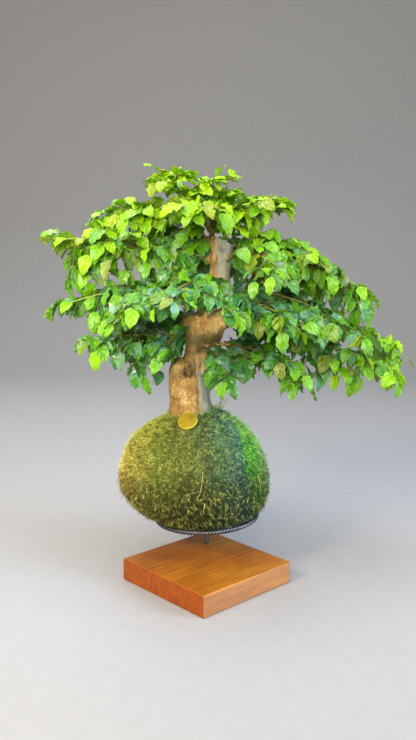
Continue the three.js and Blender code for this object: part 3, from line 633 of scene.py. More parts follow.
stand = {
    "x": 0.2, "y": 57.3, "ringHeight": 66.6, "tilt": 3.3, "ringRadius": 65.5, "arms": 4, "barAcross": 7,
    "twistLength": 16.7, "gap": 0.35, "armHeight": 0.075, "sectionSides": 16, "stepsToTurn": 18,
    "postSteps": 60, "postHead": 2.3, "cornerPower": 9,
}
halfBar = stand["barAcross"] / 2
headPlace = (
    Matrix.Translation((stand["x"], stand["y"], stand["ringHeight"]))
    @ Matrix.Rotation(-math.radians(stand["tilt"]), 4, "Y")
)


# A square section with its corners a little rounded, as a share of half its width across the corners
def squareSection(angle):
    power = stand["cornerPower"]
    turned = angle + math.pi / 4
    flat = 2 ** (1 / power - 0.5)
    return flat * (abs(math.cos(turned)) ** power + abs(math.sin(turned)) ** power) ** (-1 / power)


# Wear along the bar's corners, from how far each point lies from the middle of the bar
def paintWear(thing, reachAt):
    wear = thing.data.attributes.new("wear", "FLOAT", "POINT")
    for i, vert in enumerate(thing.data.vertices):
        wear.data[i].value = smoothStep(0.83, 0.985, reachAt(vert.co / mm) / halfBar)


def makeRing():
    radius = stand["ringRadius"]
    turns = round(fullTurn * radius / stand["twistLength"])

    def pointAt(across, along):
        angle, around = along * fullTurn, across * fullTurn
        turned = around + angle * turns
        reach = squareSection(around) * halfBar
        out = radius + math.cos(turned) * reach
        return Vector((math.cos(angle) * out, math.sin(angle) * out, math.sin(turned) * reach))
    bm = bmesh.new()
    addSkin(bm, stand["sectionSides"], turns * stand["stepsToTurn"], pointAt)
    thing = makeObject("twistedRing", bm, [steel])
    paintWear(thing, lambda p: math.hypot(math.hypot(p.x, p.y) - radius, p.z))
    thing.data.transform(Matrix.Scale(mm, 4) @ headPlace @ Matrix.Scale(1 / mm, 4))
    return placePiece(thing, "dark_steel", "stand_ring")


def makePost():
    low = block["thickness"] - block["holeDepth"] + stand["gap"]
    high = stand["ringHeight"] + stand["armHeight"] + stand["postHead"]
    x = stand["x"] - stand["armHeight"] * math.sin(math.radians(stand["tilt"]))
    line = bezierLine(*[Vector((x, stand["y"], height)) for height in (low, (low + high) / 2, high)])
    bm = bmesh.new()
    addTube(
        bm, line, lambda t: halfBar, stand["sectionSides"], stand["postSteps"], section=squareSection,
        twist=(high - low) / stand["twistLength"] * fullTurn)
    thing = makeObject("twistedPost", bm, [steel])
    paintWear(thing, lambda p: math.hypot(p.x - x, p.y - stand["y"]))
    placePiece(thing, "dark_steel", "stand_post")
    return x


def makeArm(index):
    angle = math.pi / 4 + index * fullTurn / stand["arms"]
    low = halfBar + 2 * stand["gap"]
    high = stand["ringRadius"] - halfBar - stand["gap"]
    points = [
        headPlace @ Vector((math.cos(angle) * reach, math.sin(angle) * reach, stand["armHeight"]))
        for reach in (low, (low + high) / 2, high)
    ]
    bm = bmesh.new()
    addTube(
        bm, bezierLine(*points), lambda t: halfBar, stand["sectionSides"], 4,
        section=lambda a: squareSection(a + math.pi / 4))
    thing = makeObject(f"standArm{index + 1}", bm, [steel])
    return placePiece(thing, "dark_steel", f"stand_arm_{index + 1}")


makeRing()
postX = makePost()
for armIndex in range(stand["arms"]):
    makeArm(armIndex)
makeBlock(postX, stand["y"])
print("block and stand made")


# The moss ball

ball = {
    "centre": Vector((-12, 0, 60)), "lump": 0.008, "depthShare": 0.99, "around": 168, "rows": 88,
    "bedDepth": 2.4, "edgeDepth": 0.5, "seed": 11, "footClear": 27, "footTop": 190,
}
# the ball's outline above the ring: height, shift to the side, radius
ballLevels = [
    (2.9, 0, 0), (3, 0, 24), (3.2, -0.2, 46), (3.6, -0.7, 58), (5.2, -1.6, 66), (8, -2.6, 71),
    (16, -5.3, 80.8), (28, -8.8, 90), (42, -12.7, 95.8), (57, -15.3, 97.3), (72, -15.9, 95.3),
    (87, -15.4, 90.7), (101, -15.1, 84.3), (114, -14.6, 74.3), (125, -12.3, 61.1),
    (134.5, -9.6, 46.4), (142, -6.4, 31), (146.5, -3.7, 14), (147.5, -3.7, 0),
]
levelLine = smoothLine([(shift, height, radius) for height, shift, radius in ballLevels])
levelSteps = [levelLine(i / 600) for i in range(601)]
levelLengths = [0.0, *accumulate((b - a).length for a, b in zip(levelSteps, levelSteps[1:]))]
ballMiddle = headPlace @ ball["centre"]
trunkFoot = Vector((-21, 57, 200))


def levelAt(rise):
    wanted = rise * levelLengths[-1]
    low = min(bisect_right(levelLengths, wanted) - 1, len(levelLengths) - 2)
    part = (wanted - levelLengths[low]) / max(levelLengths[low + 1] - levelLengths[low], 1e-9)
    return levelSteps[low].lerp(levelSteps[low + 1], part)


def ballPoint(angle, rise, depth):
    level = levelAt(min(max(rise, 0), 1))
    swell = ball["lump"] * max(math.sin(math.pi * rise), 0) ** 4
    lumps = 1 + swell * (math.sin(3 * angle + rise * 5) + 0.7 * math.sin(5 * angle - rise * 9))
    radius = level.z * lumps
    point = Vector((
        level.x + radius * math.cos(angle), radius * math.sin(angle) * ball["depthShare"], level.y))
    return headPlace @ (point - (point - ball["centre"]).normalized() * depth)


# A point as it lies from the stand's ring, which is level there
def fromRing(point):
    return headPlace.inverted() @ point


# Whether a point is on the part of the ball's underside that shows inside the ring
def insideRing(point):
    local = fromRing(point)
    return local.z < 6 and 44 < math.hypot(local.x, local.y) < 64


def fromFoot(point):
    return math.hypot(point.x - trunkFoot.x, point.y - trunkFoot.y)


def makeMossBed():
    def pointAt(across, rise):
        angle = across * fullTurn
        point = ballPoint(angle, rise, 0)
        depth = (ball["bedDepth"] - ball["edgeDepth"]) * smoothStep(6, 24, fromRing(point).z)
        point = ballPoint(angle, rise, ball["edgeDepth"] + depth)
        lump = noise.fractal(point * 0.045, 1.0, 2.0, 3) * 1.1 + noise.noise(point * 0.3) * 0.45
        return point + (point - ballMiddle).normalized() * lump
    bm = bmesh.new()
    addSkin(bm, ball["around"], ball["rows"], pointAt)
    return placePiece(makeObject("mossBed", bm, [mossSkinLook]), "moss", "moss_skin")


# How thick and how long the moss grows: little where the ball rests in the ring, none under the trunk
def mossThickness(point):
    if insideRing(point):
        return 1.5
    if fromRing(point).z < 6.5:
        return 0.12
    if point.z > ball["footTop"] and fromFoot(point) < ball["footClear"]:
        return 0.0
    return 0.8 + 0.45 * noise.noise(point * 0.04)


def mossGrowth(point):
    return 0.9 if insideRing(point) else 0.5 + 0.5 * smoothStep(4, 18, fromRing(point).z)


# Strands hang down the ball, turned in slow swirls, and stand up round the trunk's foot
def mossComb(point, normal):
    if insideRing(point):
        return up * -1.5
    down = -up + normal * up.dot(normal)
    down = down.normalized() if down.length > 0.02 else Vector((1, 0, 0))
    swirl = noise.noise(point * 0.022) * 2.4 + noise.noise(point * 0.07) * 1.3
    along = down * math.cos(swirl) + normal.cross(down) * math.sin(swirl)
    rise = smoothStep(-36, -28, -fromFoot(point)) if point.z > ball["footTop"] else 0
    rim = 1 - smoothStep(6, 22, fromRing(point).z)
    return (
        along * (1 - 0.6 * rise - 0.7 * rim) + normal * (0.34 + 0.3 * rise + 0.4 * rim)
        + up * (rise * 0.8 + rim * 0.5)
    )


def combMoss(bed):
    attributes = bed.data.attributes
    thickness = attributes.new("thickness", "FLOAT", "POINT")
    growth = attributes.new("growth", "FLOAT", "POINT")
    combed = attributes.new("combed", "FLOAT_VECTOR", "POINT")
    for i, vert in enumerate(bed.data.vertices):
        point = vert.co / mm
        thickness.data[i].value = mossThickness(point)
        growth.data[i].value = mossGrowth(point)
        combed.data[i].vector = mossComb(point, vert.normal)


# A sprig of moss to be scattered, drawn along +Z: closed three-sided needles, each base to tip
def sprigTemplate(name, needles, group):
    bm = bmesh.new()
    # how high up its sprig each point lies, which sets the painted shade at each strand's foot
    reach = bm.verts.layers.float.new("reach")
    for base, tip, width in needles:
        turn = up.rotation_difference(tip - base).to_matrix().to_4x4()
        made = bmesh.ops.create_cone(
            bm, cap_ends=True, segments=3, radius1=width / 2, radius2=0, depth=(tip - base).length,
            matrix=Matrix.Translation((base + tip) / 2) @ turn)
        for vert in made["verts"]:
            vert[reach] = 1.0 if (vert.co - tip).length < 0.1 else min(base.z / 8, 1) * 0.7
    thing = makeObject(name, bm, [mossStrandLook], smooth=False)
    bpy.context.scene.collection.objects.unlink(thing)
    group.objects.link(thing)


def sprigGroup(name, shapes):
    group = bpy.data.collections.new(name + "Shapes")
    for index, needles in enumerate(shapes):
        sprigTemplate(f"{name}{index + 1}", needles, group)
    return group


# A feather: a bent stem with needles in pairs that lean forward along it
def featherNeedles(length, bend, pairs, width, random):
    def stem(t):
        return Vector((bend * length * t * t, 0, length * t * (1 - 0.2 * abs(bend) * t)))
    needles = [(stem(0), stem(0.62), width), (stem(0.5), stem(1), width * 0.8)]
    for k in range(pairs):
        along = 0.25 + 0.5 * k / max(pairs - 1, 1)
        for side in (1, -1):
            start = stem(along)
            reach = length * (0.34 + 0.14 * random()) * (1.1 - 0.5 * along)
            end = start + Vector((0.25 * (random() - 0.3), side * 0.72, 0.7)) * reach
            needles.append((start, end, width * 0.75))
    return needles


# A tuft: needles that spread from one root
def tuftNeedles(count, length, width, random):
    needles = []
    for k in range(count):
        angle = fullTurn * (k + 0.6 * random()) / count
        spread = 0.25 + 0.5 * random()
        around = Vector((math.cos(angle), math.sin(angle), 0))
        end = (around * spread + up * 0.9) * length * (0.7 + 0.4 * random())
        needles.append((around * 0.5, end, width))
    return needles


# Scatters a group's objects over a surface, each leaning along the surface's own combed direction
def scatterTree(name, group, perSquareMetre, seed, jitter, sizes):
    tree = bpy.data.node_groups.new(name, "GeometryNodeTree")
    for way in ("INPUT", "OUTPUT"):
        tree.interface.new_socket("Geometry", in_out=way, socket_type="NodeSocketGeometry")
    surface = addNode(tree, "NodeGroupInput")
    painted = [("thickness", "FLOAT"), ("combed", "FLOAT_VECTOR"), ("growth", "FLOAT")]
    thickness, combed, growth = [
        addNode(tree, "GeometryNodeInputNamedAttribute", {"Name": label}, "Attribute", data_type=kind)
        for label, kind in painted
    ]
    density = addNode(tree, "ShaderNodeMath", [thickness, perSquareMetre], operation="MULTIPLY")
    points = addNode(tree, "GeometryNodeDistributePointsOnFaces", {
        "Mesh": surface, "Density": density, "Seed": seed}, distribute_method="RANDOM")
    # a random vector has its limits in inputs 0 and 1, a random number in inputs 2 and 3
    shake, turn = [
        addNode(tree, "FunctionNodeRandomValue", {
            0: [-c for c in limit], 1: limit, "Seed": seed + step}, data_type="FLOAT_VECTOR")
        for limit, step in (((jitter, jitter, jitter), 1), ((0, 0, math.pi), 2))
    ]
    size, tone = [
        addNode(tree, "FunctionNodeRandomValue", {
            2: low, 3: high, "Seed": seed + step}, 1, data_type="FLOAT")
        for low, high, step in ((*sizes, 3), (0.0, 1.0, 4))
    ]
    leaning = addNode(tree, "ShaderNodeVectorMath", [combed, shake], operation="ADD")
    aligned = addNode(tree, "FunctionNodeAlignRotationToVector", {"Vector": leaning}, axis="Z")
    spin = addNode(tree, "FunctionNodeEulerToRotation", {"Euler": turn})
    spun = addNode(tree, "FunctionNodeRotateRotation", {
        "Rotation": aligned, "Rotate By": spin}, rotation_space="LOCAL")
    grown = addNode(tree, "ShaderNodeMath", [size, growth], operation="MULTIPLY")
    source = addNode(tree, "GeometryNodeCollectionInfo", {
        "Collection": group, "Separate Children": True, "Reset Children": True})
    laid = addNode(tree, "GeometryNodeInstanceOnPoints", {
        "Points": points, "Instance": source, "Pick Instance": True, "Rotation": spun, "Scale": grown})
    marked = addNode(tree, "GeometryNodeStoreNamedAttribute", {
        "Geometry": laid, "Name": "tone", "Value": tone}, data_type="FLOAT", domain="INSTANCE")
    real = addNode(tree, "GeometryNodeRealizeInstances", [marked])
    addNode(tree, "NodeGroupOutput", [real])
    return tree


def makeStrands(name, group, perSquareMetre, seed, jitter, sizes):
    thing = bpy.data.objects.new(name, mossBed.data.copy())
    bpy.context.scene.collection.objects.link(thing)
    modifier = thing.modifiers.new("strands", "NODES")
    modifier.node_group = scatterTree(name + "Tree", group, perSquareMetre, seed, jitter, sizes)
    bakeModifiers(thing)
    thing.data.materials.clear()
    thing.data.materials.append(mossStrandLook)
    for face in thing.data.polygons:
        face.material_index = 0
    print("  ", name, len(thing.data.vertices), "points")
    return placePiece(thing, "moss")


mossBed = makeMossBed()
combMoss(mossBed)
mossRandom = randomStream(ball["seed"])
needleWidth, hairWidth = 0.64, 0.5
tuftGroup = sprigGroup("tuft", [
    featherNeedles(7.2, 0.5, 2, needleWidth, mossRandom),
    featherNeedles(6.2, -0.4, 1, needleWidth, mossRandom),
    tuftNeedles(5, 5.0, needleWidth, mossRandom),
    tuftNeedles(4, 5.8, needleWidth, mossRandom),
])
hairGroup = sprigGroup("hair", [
    featherNeedles(10.0, 0.7, 0, hairWidth, mossRandom),
    featherNeedles(12.0, -0.9, 1, hairWidth, mossRandom),
])
for layer in range(3):
    makeStrands(f"mossTufts{layer + 1}", tuftGroup, 96000, 21 + layer * 10, 0.75, (0.75, 1.25))
makeStrands("mossLooseHairs", hairGroup, 6000, 81, 0.9, (0.6, 1.15))


# Dry fruiting stalks that lie on the moss, the first with a curled end, and wisps of grass at the
# trunk's foot
stalks = {
    "radius": 0.48,
    "lines": [
        ((-5.1, -42, 156), (-6.2, -45, 142), (-8.4, -46, 129), (-11.4, -46.5, 124),
         (-9.4, -48, 120.6), (-6.4, -47.5, 123)),
        ((-2.5, -43, 116), (-3.6, -43.5, 109), (-4.2, -42.5, 103)),
        ((62.9, 6, 139), (66, 4.5, 128), (67, 3.5, 117)),
        ((-79, -8, 140), (-83, -6, 132), (-84, -7, 124)),
    ],
    "wispCount": 18, "wispFrom": Vector((2, 38, 212)), "wispTo": Vector((20, 46, 214)),
    "wispLength": (9, 19), "wispRadius": 0.38,
}


def makeStalks():
    random = randomStream(ball["seed"] + 4)
    bm = bmesh.new()
    age = bm.verts.layers.float.new("age")
    for points in stalks["lines"]:
        addTube(bm, smoothLine(points), lambda t: stalks["radius"] * (1 - 0.4 * t), 6, 14)
    shortest, longest = stalks["wispLength"]
    for _ in range(stalks["wispCount"]):
        start = stalks["wispFrom"].lerp(stalks["wispTo"], random())
        heading = Vector((random() - 0.2, random() - 0.9, 1.1)).normalized()
        end = start + heading * (shortest + (longest - shortest) * random())
        line = bezierLine(start, (start + end) / 2 + up * 3, end)
        faces = addTube(bm, line, lambda t: stalks["wispRadius"] * (1 - 0.7 * t), 4, 6)
        for vert in {v for face in faces for v in face.verts}:
            vert[age] = 0.5 + 0.5 * random()
    return placePiece(makeObject("mossStalks", bm, [dryStalk]), "moss")


makeStalks()
for group in (tuftGroup, hairGroup):
    for template in list(group.objects):
        bpy.data.objects.remove(template)
    bpy.data.collections.remove(group)
frame["nodes"]["soil_ball"].data.materials.clear()
frame["nodes"]["soil_ball"].data.materials.append(soil)
print("moss ball made")


# The brass token

token = {
    "radius": 12.8, "thickness": 1.6, "rimWidth": 1.6, "rimHeight": 0.7, "edge": 0.4, "sides": 72,
    "lift": 2.1, "angle": -100, "rise": 0.836, "facing": (-0.23, -0.6, 0.77),
}


def makeToken():
    bm = bmesh.new()
    low = bm.verts.layers.float.new("low")
    radius, edge, rimHeight = token["radius"], token["edge"], token["rimHeight"]
    reach, height = radius - edge, 0.0
    bmesh.ops.create_circle(bm, cap_ends=True, segments=token["sides"], radius=reach)
    face = bm.faces[:]
    # from the underside's edge out, over the rim, down into the field, over a bead, and in to a low dome
    steps = [
        (edge, edge), (0, token["thickness"] + rimHeight - 2 * edge), (-edge, edge),
        (2 * edge - token["rimWidth"], 0), (-edge, -rimHeight), (-1.5, 0), (-0.3, 0.45), (-0.7, 0),
        (-0.3, -0.45), (-2.2, 0), (-1.4, 0.35), (-1.6, 0.2),
    ]
    for spread, rise in steps:
        made = bmesh.ops.extrude_face_region(bm, geom=face)
        face = [g for g in made["geom"] if isinstance(g, bmesh.types.BMFace)]
        verts = [v for f in face for v in f.verts]
        share = (reach + spread) / reach
        bmesh.ops.scale(bm, verts=verts, vec=(share, share, 1))
        bmesh.ops.translate(bm, verts=verts, vec=(0, 0, rise))
        reach, height = reach + spread, height + rise
        for vert in verts:
            vert[low] = 1.0 if height < token["thickness"] + 0.1 and reach < radius - 1.5 else 0.0
    bmesh.ops.recalc_face_normals(bm, faces=bm.faces)
    bmesh.ops.holes_fill(bm, edges=bm.edges, sides=token["sides"])
    bmesh.ops.recalc_face_normals(bm, faces=bm.faces)
    lying = ballPoint(math.radians(token["angle"]), token["rise"], 0)
    outwards = Vector(token["facing"]).normalized()
    turn = up.rotation_difference(outwards).to_matrix().to_4x4()
    bm.transform(Matrix.Translation(lying + outwards * token["lift"]) @ turn)
    thing = makeObject("brassToken", bm, [brass], smooth=False, turnOut=False)
    return placePiece(thing, "token_brass", "moss_token")


makeToken()
print("token made")


# The trunk: places along each line and the radius there

stumpLine = [
    ((-20, 57, 160), 22), ((-21, 57, 185), 29), ((-22, 57, 203), 28.4), ((-23, 57, 222), 26.4),
    ((-25.5, 57, 242), 25), ((-27, 57, 258), 24), ((-25, 57, 266), 21.5), ((-22, 57, 271), 14),
]
upperLine = [
    ((-20, 59, 252), 18), ((-15, 59, 276), 17.5), ((-9, 58, 296), 20.5), ((-3, 57, 314), 23),
    ((5, 57, 332), 20), ((11, 57, 352), 15.5), ((14, 57, 376), 12.8), ((14.5, 57, 398), 13.6),
    ((15.5, 57, 416), 16), ((16, 57, 434), 17),
]
trunkForm = {
    "voxel": 1.15, "lumps": 0.9, "ridges": 0.75,
    "burls": [((-22, 50, 320), 13.5, 4), ((17, 48, 325), 11, 3)],
    "stumpTop": 262, "coolLitFrom": 350, "cutHeight": 432, "cutFrom": 6, "cutFall": 0.48,
    "cutAbove": 405, "cutLeft": -6,
    "burlShadow": ((0, 34, 298), (32, 24, 15)), "twigEnd": 2.0,
}
# what the years left: place, sizes, slope to the right, how far it stands out, how dark it is;
# the dark is rot and painted shade in the pit, painted shade in the cracks, seam and under the burl
trunkMarks = [
    ((-26, 31, 263), (12, 12, 7), 0, -7, 1.5),  # the old cut's rotted pit
    ((-9, 38, 288), (16, 16, 3), 0.1, -3.5, 1),  # a crack under the burl
    ((-27, 32, 257.5), (11, 14, 1.4), 0.19, -1.4, 0.9),  # a seam under the pit
    ((-39, 34, 259), (5, 9, 5), 0, 2.8, 0),  # healed bark on both sides of the pit
    ((-6, 33, 275), (5, 10, 7), 0, 1.96, 0),
    ((-3, 38, 332), (3.5, 12, 10), 0, -3, 0),  # a cleft in the burl
    ((-16, 38, 271), (15, 12, 10), 0, 0, 0.95),  # dark fibres round the neck
    ((2, 34, 298), (28, 20, 13), 0, 0, 0.45),  # shade under the burl
]
# small hollows up the trunk, sunk and darkened with painted shade, and knobs beside them
trunkMarks += [(at, (6, 9, 4), 0, -2.4, 0.4) for at in ((15, 42, 413), (8, 43, 394), (12, 38, 345))]
trunkMarks += [(at, (5.5, 9, 4.5), 0, 2.6, 0) for at in ((5, 44, 423), (5, 44, 403), (9, 44, 387))]
# name, from, via, tip, woody share, pairs of leaves, side twigs, spread
boughs = [
    ("apex", (4, 57, 424), (-2, 56, 478), (8, 48, 503), 0.55, 3, 2, 34),
    ("top_left", (1, 57, 438), (-30, 47, 486), (-62, 42, 508), 0.3, 4, 2, 40),
    ("upper_left", (2, 58, 424), (-72, 74, 478), (-148, 84, 448), 0.22, 5, 3, 50),
    ("long_left", (4, 56, 402), (-104, 40, 430), (-190, 30, 426), 0.2, 5, 3, 46),
    ("mid_left", (9, 56, 382), (-100, 30, 374), (-184, 10, 345), 0.2, 5, 3, 46),
    ("low_left", (-22, 52, 300), (-86, 42, 316), (-150, 26, 301), 0.2, 5, 2, 46),
    ("front_left", (8, 52, 372), (-52, -12, 384), (-108, -60, 332), 0.2, 4, 3, 44),
    ("front_mid_left", (8, 47, 376), (-14, -22, 392), (-58, -90, 354), 0.2, 4, 2, 40),
    ("front_mid", (12, 46, 356), (14, -12, 372), (16, -90, 346), 0.2, 4, 2, 40),
    ("top_front", (3, 54, 434), (-10, 4, 484), (-24, -58, 452), 0.25, 4, 3, 40),
    ("top_right", (5, 58, 446), (44, 50, 484), (90, 44, 464), 0.3, 4, 2, 38),
    ("upper_right", (24, 62, 414), (84, 74, 440), (146, 86, 394), 0.22, 4, 3, 48),
    ("outer_right", (20, 56, 400), (120, 58, 418), (204, 56, 361), 0.2, 5, 2, 50),
    ("mid_right", (18, 50, 368), (112, 26, 368), (188, 6, 312), 0.2, 5, 2, 46),
    ("right_arm", (14, 66, 350), (140, 84, 346), (262, 96, 276), 0.18, 5, 3, 48),
    ("low_right_long", (14, 54, 322), (116, 44, 316), (234, 22, 266), 0.18, 5, 2, 46),
    ("low_right", (2, 48, 296), (62, 14, 304), (112, -26, 270), 0.2, 4, 2, 40),
    ("low_front", (-8, 42, 298), (8, 6, 300), (28, -36, 262), 0.25, 3, 2, 30),
    ("front_right", (16, 46, 352), (62, -8, 364), (104, -62, 326), 0.2, 4, 2, 42),
    ("front_upper_right", (22, 46, 404), (52, -2, 428), (90, -72, 384), 0.2, 4, 3, 42),
    ("back_upper_left", (6, 66, 418), (-64, 132, 450), (-132, 184, 412), 0.2, 3, 2, 50),
    ("back_upper_right", (18, 68, 408), (76, 132, 442), (146, 188, 396), 0.2, 3, 2, 50),
    ("back_mid", (12, 68, 386), (6, 140, 424), (-8, 204, 398), 0.2, 3, 2, 46),
    ("back_low_left", (-12, 74, 320), (-64, 122, 338), (-126, 176, 298), 0.2, 3, 2, 44),
    ("back_low_right", (8, 72, 334), (78, 124, 342), (152, 178, 284), 0.2, 3, 2, 46),
    ("inner_low_left", (-24, 46, 316), (-40, 14, 318), (-58, -22, 288), 0.25, 3, 2, 30),
]


def taperedTube(bm, stations, sides, steps):
    radii = [radius for _, radius in stations]

    def radiusAt(t):
        place = t * (len(radii) - 1)
        low = min(int(place), len(radii) - 2)
        return radii[low] + (radii[low + 1] - radii[low]) * (place - low)
    addTube(bm, smoothLine([at for at, _ in stations]), radiusAt, sides, steps)


def limbLine(bough):
    return bezierLine(*[Vector(p) for p in bough[1:4]])


def limbRadius(bough):
    return min(max(2.2 + lineLength(limbLine(bough)) * bough[4] * 0.035, 2.6), 4.6)


# How a point of the wood is carved: how far it moves out, how much of it is painted grey for cool light,
# and how dark it is with rot and painted shade
def carve(point):
    burl = smoothStep(284, 300, point.z) * (1 - smoothStep(345, 365, point.z))
    grain = Vector((point.x * 0.3, point.y * 0.3, point.z * 0.035))
    move = (
        noise.fractal(point * 0.055, 1.0, 2.0, 3) * trunkForm["lumps"] * (1 + 0.8 * burl)
        + noise.fractal(grain, 0.9, 2.0, 3) * trunkForm["ridges"] * (1 - 0.6 * burl)
        + noise.noise(point * 0.6) * 0.3
    )
    # folds of bark round the neck
    move -= 1.8 * bell(point.z - 290, 8) * (1 - smoothStep(50, 62, point.y))
    wrinkle = math.sin(point.z * 1.3 + noise.noise(point * 0.12) * 5)
    move += 0.35 * wrinkle * bell(point.z - 270, 14)
    dark = coolLitGrey = 0.0
    if point.z < trunkForm["stumpTop"]:
        # a shallow groove runs down the stump's right front, and the bark beyond it is painted grey, as
        # cool light from the right shows it
        angle = math.atan2(point.y - 57, point.x + 23) + noise.noise(point * 0.09) * 0.1
        move += bell(angle + 1.38, 0.25) - 1.9 * bell(angle + 1.06, 0.12)
        coolLitGrey = smoothStep(-1.12, -0.95, angle) * (1 - smoothStep(1.0, 1.8, angle))
        # a fine crack round the stump, sunk and darkened with painted shade
        fissure = bell(point.z - 226 + noise.noise(point * 0.1) * 3, 0.9) * smoothStep(1.0, 1.3, -angle)
        move -= 0.5 * fissure
        dark += 0.45 * fissure
    elif point.z > trunkForm["coolLitFrom"]:
        # painted cool light: the upper trunk's right side is grey
        coolLitGrey = smoothStep(5, 14, point.x + noise.noise(point * 0.08) * 5) * 0.9
    # painted shade: the bark low on the stump is darker, most of all on its cool-lit grey side
    dark += (0.06 + 0.42 * coolLitGrey) * smoothStep(-266, -250, -point.z)
    for (x, y, z), sizes, slope, out, depth in trunkMarks:
        share = spot(point, (x, y, z + slope * (point.x - x)), sizes)
        move += out * share
        dark += depth * share
    return move, coolLitGrey, min(dark, 1)


# The slanting saw cut at the trunk's head, and the level one beside it
def sawTrunk(bm, sawn):
    slope = Vector((trunkForm["cutFall"], 0, 1)).normalized()
    for x, normal in ((trunkForm["cutFrom"], slope), (0, up)):
        region = {
            f for v in bm.verts for f in v.link_faces
            if v.co.z > trunkForm["cutAbove"] and v.co.x > trunkForm["cutLeft"]
        }
        parts = list(region) + list({e for f in region for e in f.edges})
        parts += list({v for f in region for v in f.verts})
        cut = bmesh.ops.bisect_plane(
            bm, geom=parts, plane_co=(x, 57, trunkForm["cutHeight"]), plane_no=normal, clear_outer=True)
        rim = [g for g in cut["geom_cut"] if isinstance(g, bmesh.types.BMEdge)]
        for face in bmesh.ops.holes_fill(bm, edges=rim, sides=0)["faces"]:
            for vert in face.verts:
                vert[sawn] = 1.0
    bmesh.ops.triangulate(bm, faces=[f for f in bm.faces if len(f.verts) > 4])


def remeshTrunk():
    bm = bmesh.new()
    taperedTube(bm, stumpLine, 40, 60)
    taperedTube(bm, upperLine, 36, 90)
    for at, radius, fineness in trunkForm["burls"]:
        bmesh.ops.create_icosphere(
            bm, subdivisions=fineness, radius=radius, matrix=Matrix.Translation(at))
    for bough in boughs:  # a swollen collar where each bough leaves the wood
        collar = limbRadius(bough) * 1.5
        addTube(bm, stretch(limbLine(bough), 0, 0.06), lambda t, c=collar: c * (1 - 0.3 * t), 12, 4)
    thing = makeObject("trunk", bm, [])
    thing.data.transform(Matrix.Scale(1 / mm, 4))
    remesh = thing.modifiers.new("skin", "REMESH")
    remesh.mode = "VOXEL"
    remesh.voxel_size = trunkForm["voxel"]
    bakeModifiers(thing)
    bm = bmesh.new()
    bm.from_mesh(thing.data)
    bpy.data.objects.remove(thing)
    for _ in range(3):
        bmesh.ops.smooth_vert(
            bm, verts=bm.verts, factor=0.5, use_axis_x=True, use_axis_y=True, use_axis_z=True)
    return bm


def makeTrunk():
    bm = remeshTrunk()
    coolLitGrey, darkBarkAndShade, warm, burlShadow, sawn = [
        bm.verts.layers.float.new(name) for name in ("coolLitGrey", "darkBarkAndShade", "warm", "burlShadow", "sawn")]
    bm.normal_update()
    for vert in bm.verts:
        move, vert[coolLitGrey], vert[darkBarkAndShade] = carve(vert.co)
        vert[warm] = 1 - smoothStep(244, 268, vert.co.z)
        # painted shade under the burl: an olive dark where the burl's shadow falls
        burlShade = 1.15 * spot(vert.co, *trunkForm["burlShadow"]) * (1 + 0.3 * noise.noise(vert.co * 0.2))
        vert[burlShadow] = min(burlShade, 0.86)
        vert.co += vert.normal * move
    sawTrunk(bm, sawn)
    # each bough's woody part
    for index, bough in enumerate(boughs):
        root = limbRadius(bough)

        def radiusAt(t):
            knob = 0.12 * math.sin(t * 19 + index) + 0.07 * math.sin(t * 47 + index * 2)
            return (root + (trunkForm["twigEnd"] - root) * t) * (1 + knob * 0.6)
        for face in addTube(bm, stretch(limbLine(bough), 0, bough[4] + 0.015), radiusAt, 10, 16):
            for vert in face.verts:
                vert[darkBarkAndShade] = 0.4
    return placePiece(makeObject("barkTrunk", bm, [bark], turnOut=False), "bark", "trunk")


makeTrunk()
print("trunk made")


# The foliage

# places along a blade, and its half width there as a share of the widest
bladeRows = [
    (0, 0), (0.05, 0.06), (0.12, 0.5), (0.22, 0.85), (0.34, 1), (0.48, 1), (0.62, 0.88), (0.76, 0.65),
    (0.88, 0.38), (0.96, 0.15), (1, 0),
]
leafForm = {"columns": 8, "thickness": 0.55, "ruffle": 0.11, "margin": 0.11, "breadth": 1.08}
# the side twigs that fill the crown out: how far apart they start, over what share of the bough,
# and where along a twig its pairs of leaves grow
crown = {
    "outer": {"spacing": 17.0, "span": (0.1, 0.94), "pairs": (0.3, 0.55, 0.8)},
    "inner": {"spacing": 42.0, "span": (0.04, 0.62), "pairs": (0.4, 0.8)},
    "leaf": 28.5, "heart": Vector((0, 57, 340)),
}
twigForm = {"mainRoot": 1.4, "mainTip": 0.65, "sideRoot": 0.8, "sideTip": 0.42}
